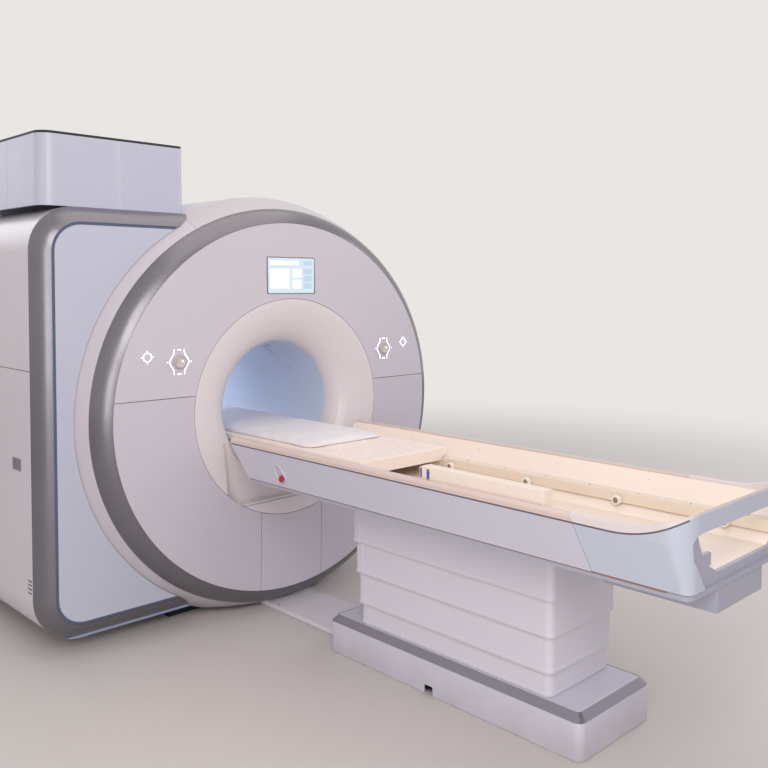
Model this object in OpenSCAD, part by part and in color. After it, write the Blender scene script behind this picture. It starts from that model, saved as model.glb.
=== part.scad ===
// Whole-body magnet scanner with its patient table, in millimetres.
// The bore runs along Y. The table reaches out towards -Y, +Z is up, and the
// origin lies on the floor under the middle of the magnet.

/* [Magnet housing] */
// Radius of the flat front disc
disc_r = 1000; // [940:1:1060]
// Width and depth of the grey chamfered ring around the disc
ring_w = 79; // [50:1:100]
// Air between the lowest point of the ring and the floor
floor_gap = 20; // [19:1:60]
// Length of the housing from the front disc to the rear bell
housing_len = 1720; // [1600:1:1900]
// Height of the domed middle of the front disc
dome_h = 10; // [0:1:25]
// How far the flat side panel stands behind the disc
panel_set = 150; // [110:1:200]
// Radius of the round crown of the housing
crown_r = 1152; // [1140:1:1200]
// Distance of the flat left wall outside the crown
side_gap = 131; // [100:1:160]
// How far the left shoulder lies below the crown
shoulder_drop = 120; // [90:1:160]
// Underside of the housing above the floor
skirt_h = 72; // [50:1:110]
// Corner radius of the left shoulder
corner_r = 215; // [150:1:280]
// Width and depth of the grey chamfered band around the side panel
band_r = 75; // [50:1:100]
// How far the chamfers of ring and band swell out
chamfer_swell = 11; // [4:1:16]
// Width of the recessed strip between band and panel
strip_w = 14; // [8:1:24]
// Wall of the moulded covers
shell_t = 8; // [5:0.5:12]
// Open joint between two neighbouring covers
seam = 3.2; // [1:0.1:5]
// Depth of the rear bulge behind the casing
rear_bulge = 100; // [60:1:140]

/* [Bore] */
// Radius of the patient bore
bore_r = 350; // [320:1:380]
// Wall of the bore liner
liner_t = 12; // [8:1:20]
// Radius of the bell mouth where it meets the disc
mouth_r = 588; // [520:1:640]
// Depth of the front bell mouth
mouth_depth = 170; // [130:1:210]
// Radius of the rear bell mouth
rear_mouth_r = 520; // [460:1:600]
// Radial build of the gradient coil
coil_build = 100; // [80:1:110]
// Outer radius of the steel magnet vessel
vessel_r = 930; // [880:1:950]
// Length of the magnet vessel
vessel_len = 1300; // [1200:1:1340]
// Half the width of the docking recess below the bore
dock_half = 405; // [380:1:420]
// Depth of the docking recess behind the bell's rim
dock_depth = 60; // [30:1:90]

/* [Controls] */
// Width of the display
screen_w = 302; // [240:1:360]
// Height of the display
screen_h = 189; // [150:1:220]
// Height of the display's middle above the bore axis
screen_rise = 714; // [690:1:760]
// Distance of a control knob from the axis, sideways
knob_x = 666; // [640:1:700]
// Height of a control knob above the bore axis
knob_rise = 283; // [260:1:300]
// Radius of a control knob
knob_r = 33; // [22:1:36]
// How far a control knob stands proud of the cover
knob_proud = 17; // [8:1:28]
// Distance of a call button from the axis, sideways
button_x = 829; // [790:1:850]
// Height of a call button above the bore axis
button_rise = 314; // [290:1:330]
// Radius of a call button
button_r = 14; // [8:1:20]

/* [Tower] */
// Width of the service tower on the shoulder
tower_w = 723; // [640:1:760]
// Depth of the service tower
tower_d = 850; // [700:1:1000]
// Height of the tower's top above the floor
tower_top = 2480; // [2300:1:2700]
// Distance of the tower's left side inboard of the wall
tower_inset = 63; // [40:1:90]
// Corner radius of the tower
tower_r = 66; // [30:1:90]
// Radius of the helium vent pipe
vent_r = 60; // [40:1:80]

/* [Table top parts] */
// Overall width of the table
table_w = 852; // [800:1:900]
// Length of the table from its head end to its foot end
table_len = 2580; // [2400:1:2700]
// Air between the front disc and the table's head end
head_gap = 75; // [40:1:120]
// Height of the rim above the floor
rim_z = 985; // [970:1:1010]
// Height of the rim cap
rim_h = 28; // [20:1:34]
// Width of the rim cap
rim_w = 30; // [22:1:36]
// Height of the side covers' lower edge above the floor
side_bottom_z = 798; // [780:1:810]
// How far the side covers lean inwards at their lower edge
side_draft = 28; // [10:1:40]
// Wall of the side covers
cover_t = 6; // [4:0.5:9]
// How far the head end slants back at its lower edge
head_rake = 119; // [60:1:160]
// Plan radius of the table's foot end at the hoop
foot_r = 84; // [60:1:120]
// Rise of the hoop handle above the straight rim
hoop_rise = 69; // [40:1:90]
// Height of the hoop handle's bar
hoop_h = 70; // [50:1:80]
// Thickness of the hoop handle
hoop_t = 28; // [20:1:32]
// Floor of the trough above the floor of the room
trough_z = 830; // [822:1:845]
// Half the width of the trough's floor
trough_half = 195; // [170:1:205]
// Inner face of a roller rail, from the middle
rail_x = 244; // [242:1:256]
// Width of a roller rail
rail_w = 56; // [40:1:64]
// Top of a roller rail above the floor
rail_top_z = 905; // [900:1:912]
// Height of a roller rail
rail_h = 42; // [34:1:48]
// Radius of a table roller
roller_r = 20; // [15:1:22]
// Width of a table roller
roller_w = 18; // [12:1:22]
// Number of rollers along each rail
roller_count = 4; // [4:1:4]

/* [Patient tabletop] */
// Half the width of the tabletop
top_half = 275; // [255:1:285]
// Length of the tabletop
top_len = 2300; // [2100:1:2400]
// Height of the tabletop's surface above the floor
top_z = 957; // [945:1:965]
// How far the tabletop is slid into the magnet, from the disc
top_reach = 1370; // [1200:1:1500]
// Thickness of the mattress
pad_t = 43; // [25:1:60]
// Length of the mattress
pad_len = 1860; // [1700:1:2060]

/* [Pedestal] */
// Length of the floor base
base_len = 1485; // [1300:1:1600]
// Half the width of the floor base
base_half = 240; // [225:1:280]
// Height of the floor base's sides
base_side_h = 147; // [110:1:170]
// Height of the grey bevel along the base's upper edge
bevel_h = 29; // [15:1:40]
// Distance of the base's head end from the front disc
base_gap = 645; // [560:1:700]
// Half the width of the largest lift sleeve
sleeve_half = 230; // [224:1:238]
// Length of the largest lift sleeve
sleeve_len = 1187; // [1000:1:1300]
// How much smaller each lower sleeve is all round
sleeve_step = 10; // [7:0.5:12]
// Plan corner radius of the largest sleeve
sleeve_r = 50; // [40:1:70]
// Distance of the sleeves' head end from the front disc
sleeve_gap = 798; // [720:1:860]
// Height of each sleeve's lower edge, from the top sleeve down
sleeve_z = [565, 418, 272];

/* [Hidden] */
$fn = 360;
fit = 0.3;              // clearance between seated pieces
play = 0.08;            // radial clearance of a pin in its bore
sleeve_play = 0.6;      // clearance between two telescoping sleeves

axis_h = disc_r + ring_w + floor_gap;
side_x = crown_r + side_gap;
shoulder_rise = crown_r - shoulder_drop;
y_front = -housing_len / 2;
y_rear = housing_len / 2;
y_panel = y_front + panel_set;
y_case_end = y_rear - rear_bulge;
y_mouth = y_front - dome_h;
y_throat = y_mouth + mouth_depth;
y_rear_throat = y_rear - mouth_depth;
flare_end = panel_set + 100;
y_flare_end = y_front + flare_end;
flare_r = disc_r + ring_w;
shoulder_z = axis_h + shoulder_rise;
crown_x = 0.4514 * crown_r;           // half width of the crown cover
seam_rise = 106;                      // disc seam above the axis
lower_seam_x = 199;                   // lower disc seams from the middle
case_seam_z = 1360;                   // seam across the left wall
dock_top = axis_h - 164;              // shelf of the docking recess
insert_z = axis_h - 502;              // seam of the mouth's lower insert
dock_bottom = insert_z + seam + shell_t;
flange_w = 40;                        // hidden flange of the ring behind the covers
mouth_flange = 20;                    // hidden flange of the bell mouth
screen_lip = 8;                       // lip of the display behind the cover

tower_x0 = -side_x + tower_inset;
tower_y0 = y_front + 245;
tower_seam_y = tower_y0 + 0.4682 * tower_d;
seal_h = 12;
turret_x = tower_x0 + 0.6362 * tower_w;
turret_y = tower_y0 + 0.4294 * tower_d;
turret_r = 150;
turret_z = axis_h + shoulder_rise + 60;
tower_inner_r = 26;                   // corner radius on the bore's side

foot_x = 420;                         // magnet feet from the middle
foot_y = 480;
foot_bolt = 100;                      // bolt outboard of a foot's column
foot_w = 150;
foot_plate_t = 25;
bolt_r = 11;

half_w = table_w / 2;
line_z = rim_z - rim_h;
y_head = y_front - head_gap;
y_foot = y_head - table_len;
cover_seam_top = y_foot + 435;        // slanted seam of the foot cover
cover_seam_low = y_foot + 371;
low_half = half_w - side_draft;
foot_low_r = 34;
hoop_start = 300;                     // where the hoop begins to rise
end_set = 12;                         // end plate behind the foot cover's edge
tray_h = 20;
lip_t = 3;                            // lip of the side covers below the frame
tray_z = side_bottom_z - tray_h;
land_x = half_w - rim_w;              // inner edge of the rim
wall_foot_x = rail_x + rail_w;        // foot of the sloping inner wall
rail_z = rail_top_z - rail_h;
roller_z = top_z - 62 - roller_r - fit;
runner_half = rail_x - 4;
runner_z = roller_z + roller_r + fit;
roller_first = 0.3593 * table_len;    // first roller behind the head end
roller_pitch = 0.1872 * table_len;
axle_r = 6;
bar_x = half_w - 36;
bar_w = 50;
bar_top = 1035;
bar_y0 = y_head - 0.7733 * table_len;
bar_y1 = y_head - 0.5291 * table_len;
box_x0 = -205;
box_x1 = 130;
box_z = 690;
box_len = 470;
box_draft = 20;
estop_y = y_front - 500;
estop_z = 837;
estop_r = 16;
estop_lift = 7.5;                     // underside of the button above the sloping cover
estop_proud = 17;

y_top_head = y_front + top_reach;
y_top_foot = y_top_head - top_len;

base_y1 = y_front - base_gap;
base_y0 = base_y1 - base_len;
sleeve_y1 = y_front - sleeve_gap;
deck_z = base_side_h + bevel_h;
bevel_w = 28;
plate_t = 12;
column_half = 110;
column_set = 260;                     // column inside the ends of the sleeves
column_y0 = sleeve_y1 - sleeve_len + column_set;
column_y1 = sleeve_y1 - column_set;
anchor_x = 180;
anchor_y = base_len / 2 - 120;
base_mid_y = (base_y0 + base_y1) / 2;
duct_h = floor_gap - fit;
duct_x0 = -120;
duct_x1 = 200;

// Shared shapes

// Extrudes an outline drawn in x and z along the bore.
module along_y(y0, y1) {
    translate([0, y1, 0]) rotate([90, 0, 0]) linear_extrude(y1 - y0) children();
}

// Extrudes an outline drawn in y and z across the machine.
module along_x(x0, x1) {
    translate([x0, 0, 0]) rotate([90, 0, 90]) linear_extrude(x1 - x0) children();
}

// Turns a profile drawn as radius and y about the bore axis.
module about_axis() {
    translate([0, 0, axis_h]) rotate([-90, 0, 0]) rotate_extrude() children();
}

module box_between(a, b) {
    translate(a) cube([for (i = [0:2]) b[i] - a[i]]);
}

module both_sides() {
    children();
    mirror([1, 0, 0]) children();
}

// A rectangle with four round corners.
module round_rect(x0, y0, x1, y1, r) {
    translate([x0 + r, y0]) square([x1 - x0 - 2 * r, y1 - y0]);
    translate([x0, y0 + r]) square([x1 - x0, y1 - y0 - 2 * r]);
    for (x = [x0 + r, x1 - r], y = [y0 + r, y1 - r]) translate([x, y]) circle(r = r);
}

// Front face of the shallow dome at a given radius.
function dome_y(r) = y_front - dome_h * (1 - pow(r / disc_r, 2)) / (1 - pow(mouth_r / disc_r, 2));

dome_steps = 8;
function dome_points(r0, r1, back) = [
    for (i = [0:dome_steps]) let (r = r0 + (r1 - r0) * i / dome_steps) [r, dome_y(r) + back]
];

function flipped(list) = [for (i = [len(list) - 1:-1:0]) list[i]];

// A quarter ellipse from the rim of a bell mouth into its throat.
bell_steps = 14;
function bell_points(rim, y_rim, depth, grow) = [
    for (i = [0:bell_steps]) let (a = 90 * i / bell_steps)
        [rim - (rim - bore_r - grow) * sin(a), y_rim + depth * (1 - cos(a)) + grow_y(depth, grow, a)]
];
function grow_y(depth, grow, a) = (depth > 0 ? 1 : -1) * grow * cos(a);

// Section of a bell mouth whose rim carries a hidden flange.
module bell_section(rim, y_rim, depth, flange) {
    back = [for (p = bell_points(rim, y_rim, depth, shell_t)) if (p[0] < rim - shell_t) p];
    polygon(concat(flipped(bell_points(rim, y_rim, depth, 0)), flange, back));
}

// Radius of the flared drum wall at a distance behind the disc.
function flare_at(d) = let (t = (d - ring_w) / (flare_end - ring_w))
    flare_r + (crown_r - flare_r) * (t + 0.25 * t * (1 - t));

flare_steps = 6;
function flare_points(grow, d0, d1) = [
    for (i = [0:flare_steps]) let (d = d0 + (d1 - d0) * i / flare_steps) [flare_at(d) + grow, y_front + d]
];

module flare_shell() {
    polygon(concat(
        flare_points(0, ring_w + fit, flare_end),
        flipped(flare_points(-shell_t, ring_w + fit, flare_end))
    ));
}

// Everything inside the drum, used to trim the pieces that meet it.
module drum_clearance() {
    about_axis() polygon(concat([[0, y_front]], [[flare_r + seam, y_front]],
        flare_points(seam, ring_w, flare_end), [[crown_r + seam, y_rear], [0, y_rear]]));
}

// Left shoulder of the housing seen from the front, drawn in by an inset.
module shoulder_outline(inset) {
    round_rect(-side_x + inset, skirt_h + inset, corner_r, shoulder_z - inset, corner_r - inset);
}

// Whole housing behind the drum seen from the front.
module body_outline(inset) {
    difference() {
        union() {
            translate([0, axis_h]) circle(r = crown_r - inset);
            intersection() {
                shoulder_outline(inset);
                translate([-2 * side_x, 0]) square([2 * side_x, 2 * axis_h + crown_r]);
            }
        }
        translate([-2 * side_x, -crown_r]) square([4 * side_x, crown_r + skirt_h + inset]);
    }
}

// Magnet

module magnet_foot() {
    difference() {
        union() {
            box_between([foot_x - foot_w / 2, foot_y - foot_w / 2, 0],
                [foot_x + foot_bolt + foot_w / 3, foot_y + foot_w / 2, foot_plate_t]);
            box_between([foot_x - foot_w / 3, foot_y - foot_w / 3, 0],
                [foot_x + foot_w / 3, foot_y + foot_w / 3, axis_h - vessel_r / 2]);
        }
        translate([0, -foot_w, axis_h]) rotate([-90, 0, 0])
            cylinder(r = vessel_r + fit, h = foot_y + 3 * foot_w);
        translate([foot_x + foot_bolt, foot_y, -1]) cylinder(r = bolt_r, h = foot_plate_t + 2);
    }
}

module magnet_feet() {
    color("#3f4348") both_sides() {
        magnet_foot();
        mirror([0, 1, 0]) magnet_foot();
    }
}

module magnet_vessel() {
    dish = 60;
    inner = bore_r + liner_t + coil_build + 2 * fit;
    half = vessel_len / 2;
    color("#c9ccd2") about_axis() polygon([
        [inner, -half + dish], [inner + dish, -half], [vessel_r - 2 * dish, -half],
        [vessel_r, -half + 2 * dish], [vessel_r, half - 2 * dish], [vessel_r - 2 * dish, half],
        [inner + dish, half], [inner, half - dish]
    ]);
}

module gradient_coil() {
    inner = bore_r + liner_t + fit;
    half = vessel_len / 2 - 40;
    color("#9a7a52") about_axis() polygon([
        [inner, -half], [inner + coil_build, -half], [inner + coil_build, half], [inner, half]
    ]);
}

module bore_liner() {
    color("#aebfd6") about_axis() translate([bore_r, y_throat + fit])
        square([liner_t, y_rear_throat - y_throat - 2 * fit]);
}

module bore_rails() {
    rail_in = runner_half - 40;
    color("#d5d2d0") along_y(y_throat, y_rear_throat) intersection() {
        both_sides() translate([rail_in, axis_h - bore_r])
            square([runner_half - rail_in, runner_z - fit - axis_h + bore_r]);
        translate([0, axis_h]) circle(r = bore_r - fit);
    }
}

// Front of the housing

module mouth_body() {
    rim = mouth_r - seam / 2;
    near = mouth_r + seam / 2;
    edge = mouth_r + mouth_flange;
    about_axis() bell_section(rim, y_mouth, mouth_depth, [
        [rim, y_mouth + shell_t / 2], [near, dome_y(near) + shell_t + fit],
        [edge, dome_y(edge) + shell_t + fit], [edge, y_mouth + 3 * shell_t],
        [rim - shell_t, y_mouth + 3 * shell_t], [rim - shell_t, y_mouth + shell_t]
    ]);
}

module behind_bell() {
    about_axis() polygon(concat(bell_points(mouth_r - seam / 2, y_mouth, mouth_depth, 0),
        [[bore_r, y_throat + shell_t], [mouth_r - seam / 2, y_throat + shell_t]]));
}

module dock_opening(grow, depth) {
    box_between([-dock_half - grow, y_mouth - 50, dock_bottom - grow],
        [dock_half + grow, y_mouth + depth, dock_top + grow]);
}

// Shallow tray behind the table's head end, below the bore.
module dock_tray() {
    intersection() {
        difference() {
            dock_opening(shell_t, dock_depth + shell_t);
            dock_opening(0, dock_depth);
        }
        behind_bell();
    }
}

module front_funnel() {
    color("#dcd3cf") difference() {
        union() {
            difference() {
                mouth_body();
                dock_opening(0, dock_depth);
            }
            dock_tray();
        }
        box_between([-mouth_r, y_mouth - 50, 0], [mouth_r, y_throat + 50, insert_z + seam / 2]);
    }
}

module funnel_insert() {
    color("#d8cfcc") intersection() {
        mouth_body();
        box_between([-mouth_r, y_mouth - 50, 0], [mouth_r, y_throat + 50, insert_z - seam / 2]);
        box_between([-dock_half, y_mouth - 50, 0], [dock_half, y_throat + 50, axis_h]);
    }
}

module disc_shell() {
    r0 = mouth_r + seam / 2;
    r1 = disc_r - seam / 2;
    about_axis() polygon(concat(dome_points(r0, r1, 0), flipped(dome_points(r0, r1, shell_t))));
}

module disc_hole(x, rise, r) {
    translate([x, y_mouth - 20, axis_h + rise]) rotate([-90, 0, 0]) cylinder(r = r, h = 80);
}

// Holes in the disc for the knobs, the buttons and the display.
module disc_holes() {
    for (side = [-1, 1]) {
        disc_hole(side * knob_x, knob_rise, knob_pin_r + play);
        disc_hole(side * button_x, button_rise, button_r + fit);
    }
    box_between([-screen_w / 2 - fit, y_mouth - 20, axis_h + screen_rise - screen_h / 2 - fit],
        [screen_w / 2 + fit, y_mouth + 60, axis_h + screen_rise + screen_h / 2 + fit]);
}

module disc_region(x0, x1, z0, z1) {
    difference() {
        intersection() {
            disc_shell();
            box_between([x0, y_mouth - 20, z0], [x1, y_mouth + 60, z1]);
        }
        disc_holes();
    }
}

disc_seam_z = axis_h + seam_rise;

module front_cover_upper() {
    color("#cfc8d0") disc_region(-disc_r, disc_r, disc_seam_z + seam / 2, axis_h + disc_r);
}

module front_cover_left() {
    color("#c9c1cb") disc_region(-disc_r, -lower_seam_x - seam / 2, 0, disc_seam_z - seam / 2);
}

module front_cover_right() {
    color("#c9c1cb") disc_region(lower_seam_x + seam / 2, disc_r, 0, disc_seam_z - seam / 2);
}

module front_cover_lower() {
    color("#c4bcc8") disc_region(-lower_seam_x + seam / 2, lower_seam_x - seam / 2, 0, axis_h - mouth_r / 2);
}

// Radius and centre of a chamfer that swells out between two edges of a square.
function chamfer_r(w) = (w * w / 2 + chamfer_swell * chamfer_swell) / (2 * chamfer_swell);
function chamfer_c(w) = w / 2 + (chamfer_r(w) - chamfer_swell) / sqrt(2);

// Section of a grey edge: from [0, 0] at the front to [w, w] at the side.
module chamfer_section(w) {
    intersection() {
        square([w, w]);
        translate([w - chamfer_c(w), chamfer_c(w)]) difference() {
            circle(r = chamfer_r(w));
            circle(r = chamfer_r(w) - shell_t);
        }
    }
}

module ring_trim() {
    color("#8e8a90") about_axis() union() {
        translate([disc_r, y_front]) chamfer_section(ring_w);
        translate([disc_r - flange_w, y_front + shell_t + fit / 2]) square([flange_w + shell_t, shell_t]);
    }
}

module crown_zone(grow) {
    box_between([-crown_x + grow, y_front, axis_h], [crown_x - grow, y_rear, axis_h + 2 * crown_r]);
}

module drum_rim() {
    color("#d3cacd") difference() {
        about_axis() flare_shell();
        crown_zone(0);
        box_between([-crown_r, y_front, -crown_r], [crown_r, y_rear, floor_gap]);
    }
}

module crown_cover() {
    color("#c4babd") intersection() {
        about_axis() flare_shell();
        crown_zone(seam / 2);
    }
}

// Casing behind the drum

belly_x = foot_x + foot_bolt + foot_w;

module rear_casing() {
    color("#c3c2cd") along_y(y_flare_end + fit, y_case_end) difference() {
        translate([0, axis_h]) circle(r = crown_r);
        translate([0, axis_h]) circle(r = crown_r - shell_t);
        translate([-crown_r - 1, -crown_r]) square([2 * crown_r + 2, crown_r + skirt_h]);
        translate([-crown_r - 1, 0]) square([crown_r + 1 - crown_x, 2 * crown_r + axis_h]);
        translate([-crown_r, 0]) square([crown_r, axis_h]);
    }
}

module left_shell() {
    along_y(y_panel + band_r + fit, y_case_end) difference() {
        intersection() {
            shoulder_outline(0);
            translate([-side_x, 0]) square([side_x - crown_x + 2 * corner_r, shoulder_z]);
        }
        shoulder_outline(shell_t);
        translate([0, axis_h]) circle(r = crown_r + fit);
        translate([-belly_x, 0]) square([2 * belly_x, axis_h]);
    }
}

module turret_hole(grow) {
    translate([turret_x, turret_y, axis_h]) cylinder(r = turret_r + grow, h = crown_r + tower_top);
}

module left_casing_upper() {
    color("#b9bbcb") difference() {
        left_shell();
        box_between([-side_x - 1, y_front, 0], [0, y_rear, case_seam_z + seam / 2]);
        turret_hole(20);
    }
}

latch_y = y_front + 396;
latch_z = 910;
latch_w = 96;
latch_h = 57;
vent_y = y_front + 262;
vent_z = 353;

module latch_recess() {
    box_between([-side_x - 1, latch_y - latch_w / 2, latch_z - latch_h / 2],
        [-side_x + shell_t / 2, latch_y + latch_w / 2, latch_z + latch_h / 2]);
}

module side_vents() {
    for (i = [0:3]) box_between([-side_x - 1, vent_y - 28, vent_z - 35 + i * 19],
        [-side_x + shell_t + 1, vent_y + 28, vent_z - 35 + i * 19 + 9]);
}

module left_casing_lower() {
    color("#b6b8c9") difference() {
        left_shell();
        box_between([-side_x - 1, y_front, case_seam_z - seam / 2], [0, y_rear, shoulder_z + 1]);
        latch_recess();
        side_vents();
    }
}

module body_panel() {
    color("#bcbfce") difference() {
        along_y(y_panel, y_panel + shell_t) shoulder_outline(band_r + strip_w + fit);
        drum_clearance();
    }
}

module band_corner_section() {
    translate([-band_r, 0]) chamfer_section(band_r);
}

// Chamfered edge along a straight run or around a corner of the shoulder.
module band_run(length) {
    linear_extrude(length) band_corner_section();
}

module band_bend() {
    rotate_extrude(angle = 90) translate([corner_r, 0]) band_corner_section();
}

module band_path() {
    low_z = skirt_h + corner_r;
    high_z = shoulder_z - corner_r;
    bend_x = -side_x + corner_r;
    translate([-side_x, y_panel, low_z]) mirror([1, 0, 0]) band_run(high_z - low_z);
    translate([bend_x, y_panel, high_z]) rotate([90, 0, 0]) mirror([0, 0, 1]) rotate([0, 0, 90]) band_bend();
    translate([bend_x, y_panel, low_z]) rotate([90, 0, 0]) mirror([0, 0, 1]) rotate([0, 0, 180]) band_bend();
    translate([bend_x, y_panel, shoulder_z]) rotate([0, 90, 0]) mirror([1, 0, 0]) band_run(-bend_x);
    translate([bend_x, y_panel, skirt_h]) rotate([0, 90, 0]) band_run(-bend_x);
}

module panel_band() {
    color("#8d8b92") difference() {
        band_path();
        drum_clearance();
    }
}

module panel_groove() {
    groove_set = 4;
    color("#56617a") difference() {
        along_y(y_panel + groove_set, y_panel + groove_set + shell_t) difference() {
            shoulder_outline(band_r + fit);
            shoulder_outline(band_r + strip_w);
        }
        drum_clearance();
    }
}

module skirt_strip() {
    strip_h = 12;
    color("#aeb9d6") difference() {
        along_y(y_panel + band_r, y_panel + band_r + 60) difference() {
            round_rect(-side_x + shell_t, skirt_h - strip_h, corner_r, shoulder_z, corner_r);
            translate([-side_x, skirt_h - fit]) square([2 * side_x, 2 * axis_h]);
            translate([-side_x, 0]) square([corner_r / 2, axis_h]);
        }
        drum_clearance();
    }
}

rear_flat_r = 900;

module rear_cover() {
    color("#bfc0cc") difference() {
        union() {
            along_y(y_case_end + fit, y_case_end + shell_t) body_outline(0);
            about_axis() polygon([
                [rear_mouth_r, y_case_end], [rear_flat_r + rear_bulge - 10, y_case_end + shell_t / 2],
                [rear_flat_r, y_rear - shell_t], [rear_flat_r - 20, y_rear], [rear_mouth_r + seam, y_rear]
            ]);
        }
        about_axis() polygon([
            [0, y_case_end - 5], [rear_flat_r + rear_bulge - 30, y_case_end - 5],
            [rear_flat_r - 10, y_rear - shell_t], [rear_mouth_r + seam, y_rear - shell_t],
            [rear_mouth_r + seam, y_rear + 5], [0, y_rear + 5]
        ]);
        box_between([-crown_r, y_case_end - 1, -crown_r], [crown_r, y_rear + 1, skirt_h]);
    }
}

module rear_funnel() {
    r = rear_mouth_r;
    color("#d6d0ce") about_axis() bell_section(r, y_rear, -mouth_depth, [
        [r, y_rear - shell_t / 2], [r + seam, y_rear - shell_t - fit],
        [r + flange_w, y_rear - shell_t - fit], [r + flange_w, y_rear - 2 * shell_t],
        [r - shell_t, y_rear - 2 * shell_t], [r - shell_t, y_rear - shell_t]
    ]);
}

// Service tower

tower_base_z = shoulder_z + fit;

// Plan of the tower: wide round corners outside, tight ones towards the bore.
module tower_plan(inset) {
    x0 = tower_x0 + inset;
    x1 = tower_x0 + tower_w - inset;
    y0 = tower_y0 + inset;
    y1 = tower_y0 + tower_d - inset;
    split = (x0 + x1) / 2;
    round_rect(x0, y0, split + tower_r, y1, tower_r - inset);
    round_rect(split, y0, x1, y1, tower_inner_r - inset / 2);
}

module tower_body() {
    lip_h = 5;
    lip_w = 9;
    top = tower_top - seal_h - fit;
    difference() {
        union() {
            translate([0, 0, tower_base_z]) linear_extrude(top - tower_base_z) tower_plan(0);
            translate([0, 0, tower_base_z]) linear_extrude(lip_h) tower_plan(-lip_w);
        }
        translate([0, 0, tower_base_z - 1]) linear_extrude(top - tower_base_z - shell_t + 1)
            tower_plan(shell_t);
        translate([turret_x, turret_y, top - 2 * shell_t]) cylinder(r = vent_r + fit, h = 4 * shell_t);
        drum_clearance();
    }
}

module tower_front_cover() {
    color("#c5c6d6") intersection() {
        tower_body();
        box_between([-2 * side_x, y_front, 0], [0, tower_seam_y - seam / 2, tower_top]);
    }
}

module tower_rear_cover() {
    color("#bfc1d1") intersection() {
        tower_body();
        box_between([-2 * side_x, tower_seam_y + seam / 2, 0], [0, y_rear, tower_top]);
    }
}

module tower_seal() {
    color("#2c2c30") translate([0, 0, tower_top - seal_h]) linear_extrude(seal_h) difference() {
        tower_plan(2);
        tower_plan(24);
    }
}

module service_turret() {
    color("#b8bcc2") difference() {
        translate([turret_x, turret_y, axis_h]) cylinder(r = turret_r, h = turret_z - axis_h);
        translate([0, turret_y - 2 * turret_r, axis_h]) rotate([-90, 0, 0])
            cylinder(r = vessel_r + fit, h = 4 * turret_r);
    }
}

module vent_pipe() {
    wall = 4;
    foot = turret_z + fit;
    color("#b4b8be") translate([turret_x, turret_y, foot]) difference() {
        union() {
            cylinder(r = vent_r, h = tower_top - foot);
            cylinder(r = vent_r + 30, h = 14);
        }
        translate([0, 0, -1]) cylinder(r = vent_r - wall, h = tower_top);
    }
}

// Controls on the front disc

module display_screen() {
    low = axis_h + screen_rise - screen_h / 2;
    high = low + screen_h;
    far = [screen_w / 2 + screen_lip, screen_rise + screen_h / 2 + screen_lip];
    back = dome_y(norm(far)) + shell_t + fit;
    color("#dfeefa") union() {
        box_between([-screen_w / 2, dome_y(screen_rise) - 1, low], [screen_w / 2, back + 20, high]);
        box_between([-far[0], back, low - screen_lip], [far[0], back + 20, high + screen_lip]);
    }
}

knob_pin_r = 9;
knob_back = dome_y(norm([knob_x - knob_r, knob_rise - knob_r])) - fit;

// A turning knob with a domed face, on a pin through the cover.
module control_knob() {
    front = knob_back - knob_proud;
    round_edge = 6;
    translate([knob_x, 0, axis_h + knob_rise]) rotate([-90, 0, 0]) {
        translate([0, 0, knob_back - knob_proud + round_edge])
            cylinder(r = knob_r, h = knob_proud - round_edge);
        translate([0, 0, front]) cylinder(r1 = knob_r - round_edge, r2 = knob_r, h = round_edge);
        translate([0, 0, knob_back - 1]) cylinder(r = knob_pin_r, h = shell_t + 14);
    }
}

module control_knob_left() {
    color("#b9aea8") mirror([1, 0, 0]) control_knob();
}

module control_knob_right() {
    color("#b9aea8") control_knob();
}

module call_button() {
    skin = dome_y(norm([button_x, button_rise]));
    translate([button_x, skin - 5, axis_h + button_rise]) rotate([-90, 0, 0])
        cylinder(r = button_r, h = shell_t + 12);
}

module call_button_left() {
    color("#e4e8ee") mirror([1, 0, 0]) call_button();
}

module call_button_right() {
    color("#e4e8ee") call_button();
}

module side_latch() {
    gap = fit;
    color("#a9abb8") difference() {
        box_between([-side_x - 3, latch_y - latch_w / 2 + gap, latch_z - latch_h / 2 + gap],
            [-side_x + shell_t / 2 - gap, latch_y + latch_w / 2 - gap, latch_z + latch_h / 2 - gap]);
        translate([-side_x - 4, latch_y, latch_z]) rotate([0, 90, 0]) cylinder(r = latch_h / 3, h = 3);
    }
}

// Pedestal

module base_block(inset, z0, z1, r) {
    translate([0, 0, z0]) linear_extrude(z1 - z0)
        round_rect(-base_half + inset, base_y0 + inset, base_half - inset, base_y1 - inset, r);
}

base_corner = 34;

module table_base_plate() {
    margin = 30;
    color("#5a5d63") difference() {
        base_block(margin, 0, plate_t, 10);
        for (x = [-anchor_x, anchor_x], y = [-anchor_y, anchor_y]) translate([x, base_mid_y + y, -1])
            cylinder(r = bolt_r, h = plate_t + 2);
    }
}

module cable_notch() {
    box_between([-base_half - 1, y_front - 1350, -1], [-base_half + 45, y_front - 1300, 38]);
}

module table_base_cover() {
    wall = 10;
    color("#c3c4d2") difference() {
        union() {
            base_block(0, 0, base_side_h, base_corner);
            base_block(bevel_w + fit, base_side_h - 1, deck_z, base_corner / 2);
        }
        base_block(wall, -1, base_side_h - wall, base_corner - wall);
        base_block(bevel_w + wall, 0, deck_z - wall, base_corner / 3);
        cable_notch();
        box_between([-column_half - fit, column_y0 - fit, base_side_h],
            [column_half + fit, column_y1 + fit, deck_z + 1]);
    }
}

module table_base_bevel() {
    slab = 1;
    color("#7d7780") difference() {
        hull() {
            base_block(0, base_side_h + fit, base_side_h + fit + slab, base_corner, $fn = 32);
            base_block(bevel_w, deck_z - slab, deck_z, base_corner / 2, $fn = 32);
        }
        base_block(bevel_w, base_side_h - 1, deck_z + 1, base_corner / 2);
    }
}

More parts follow.
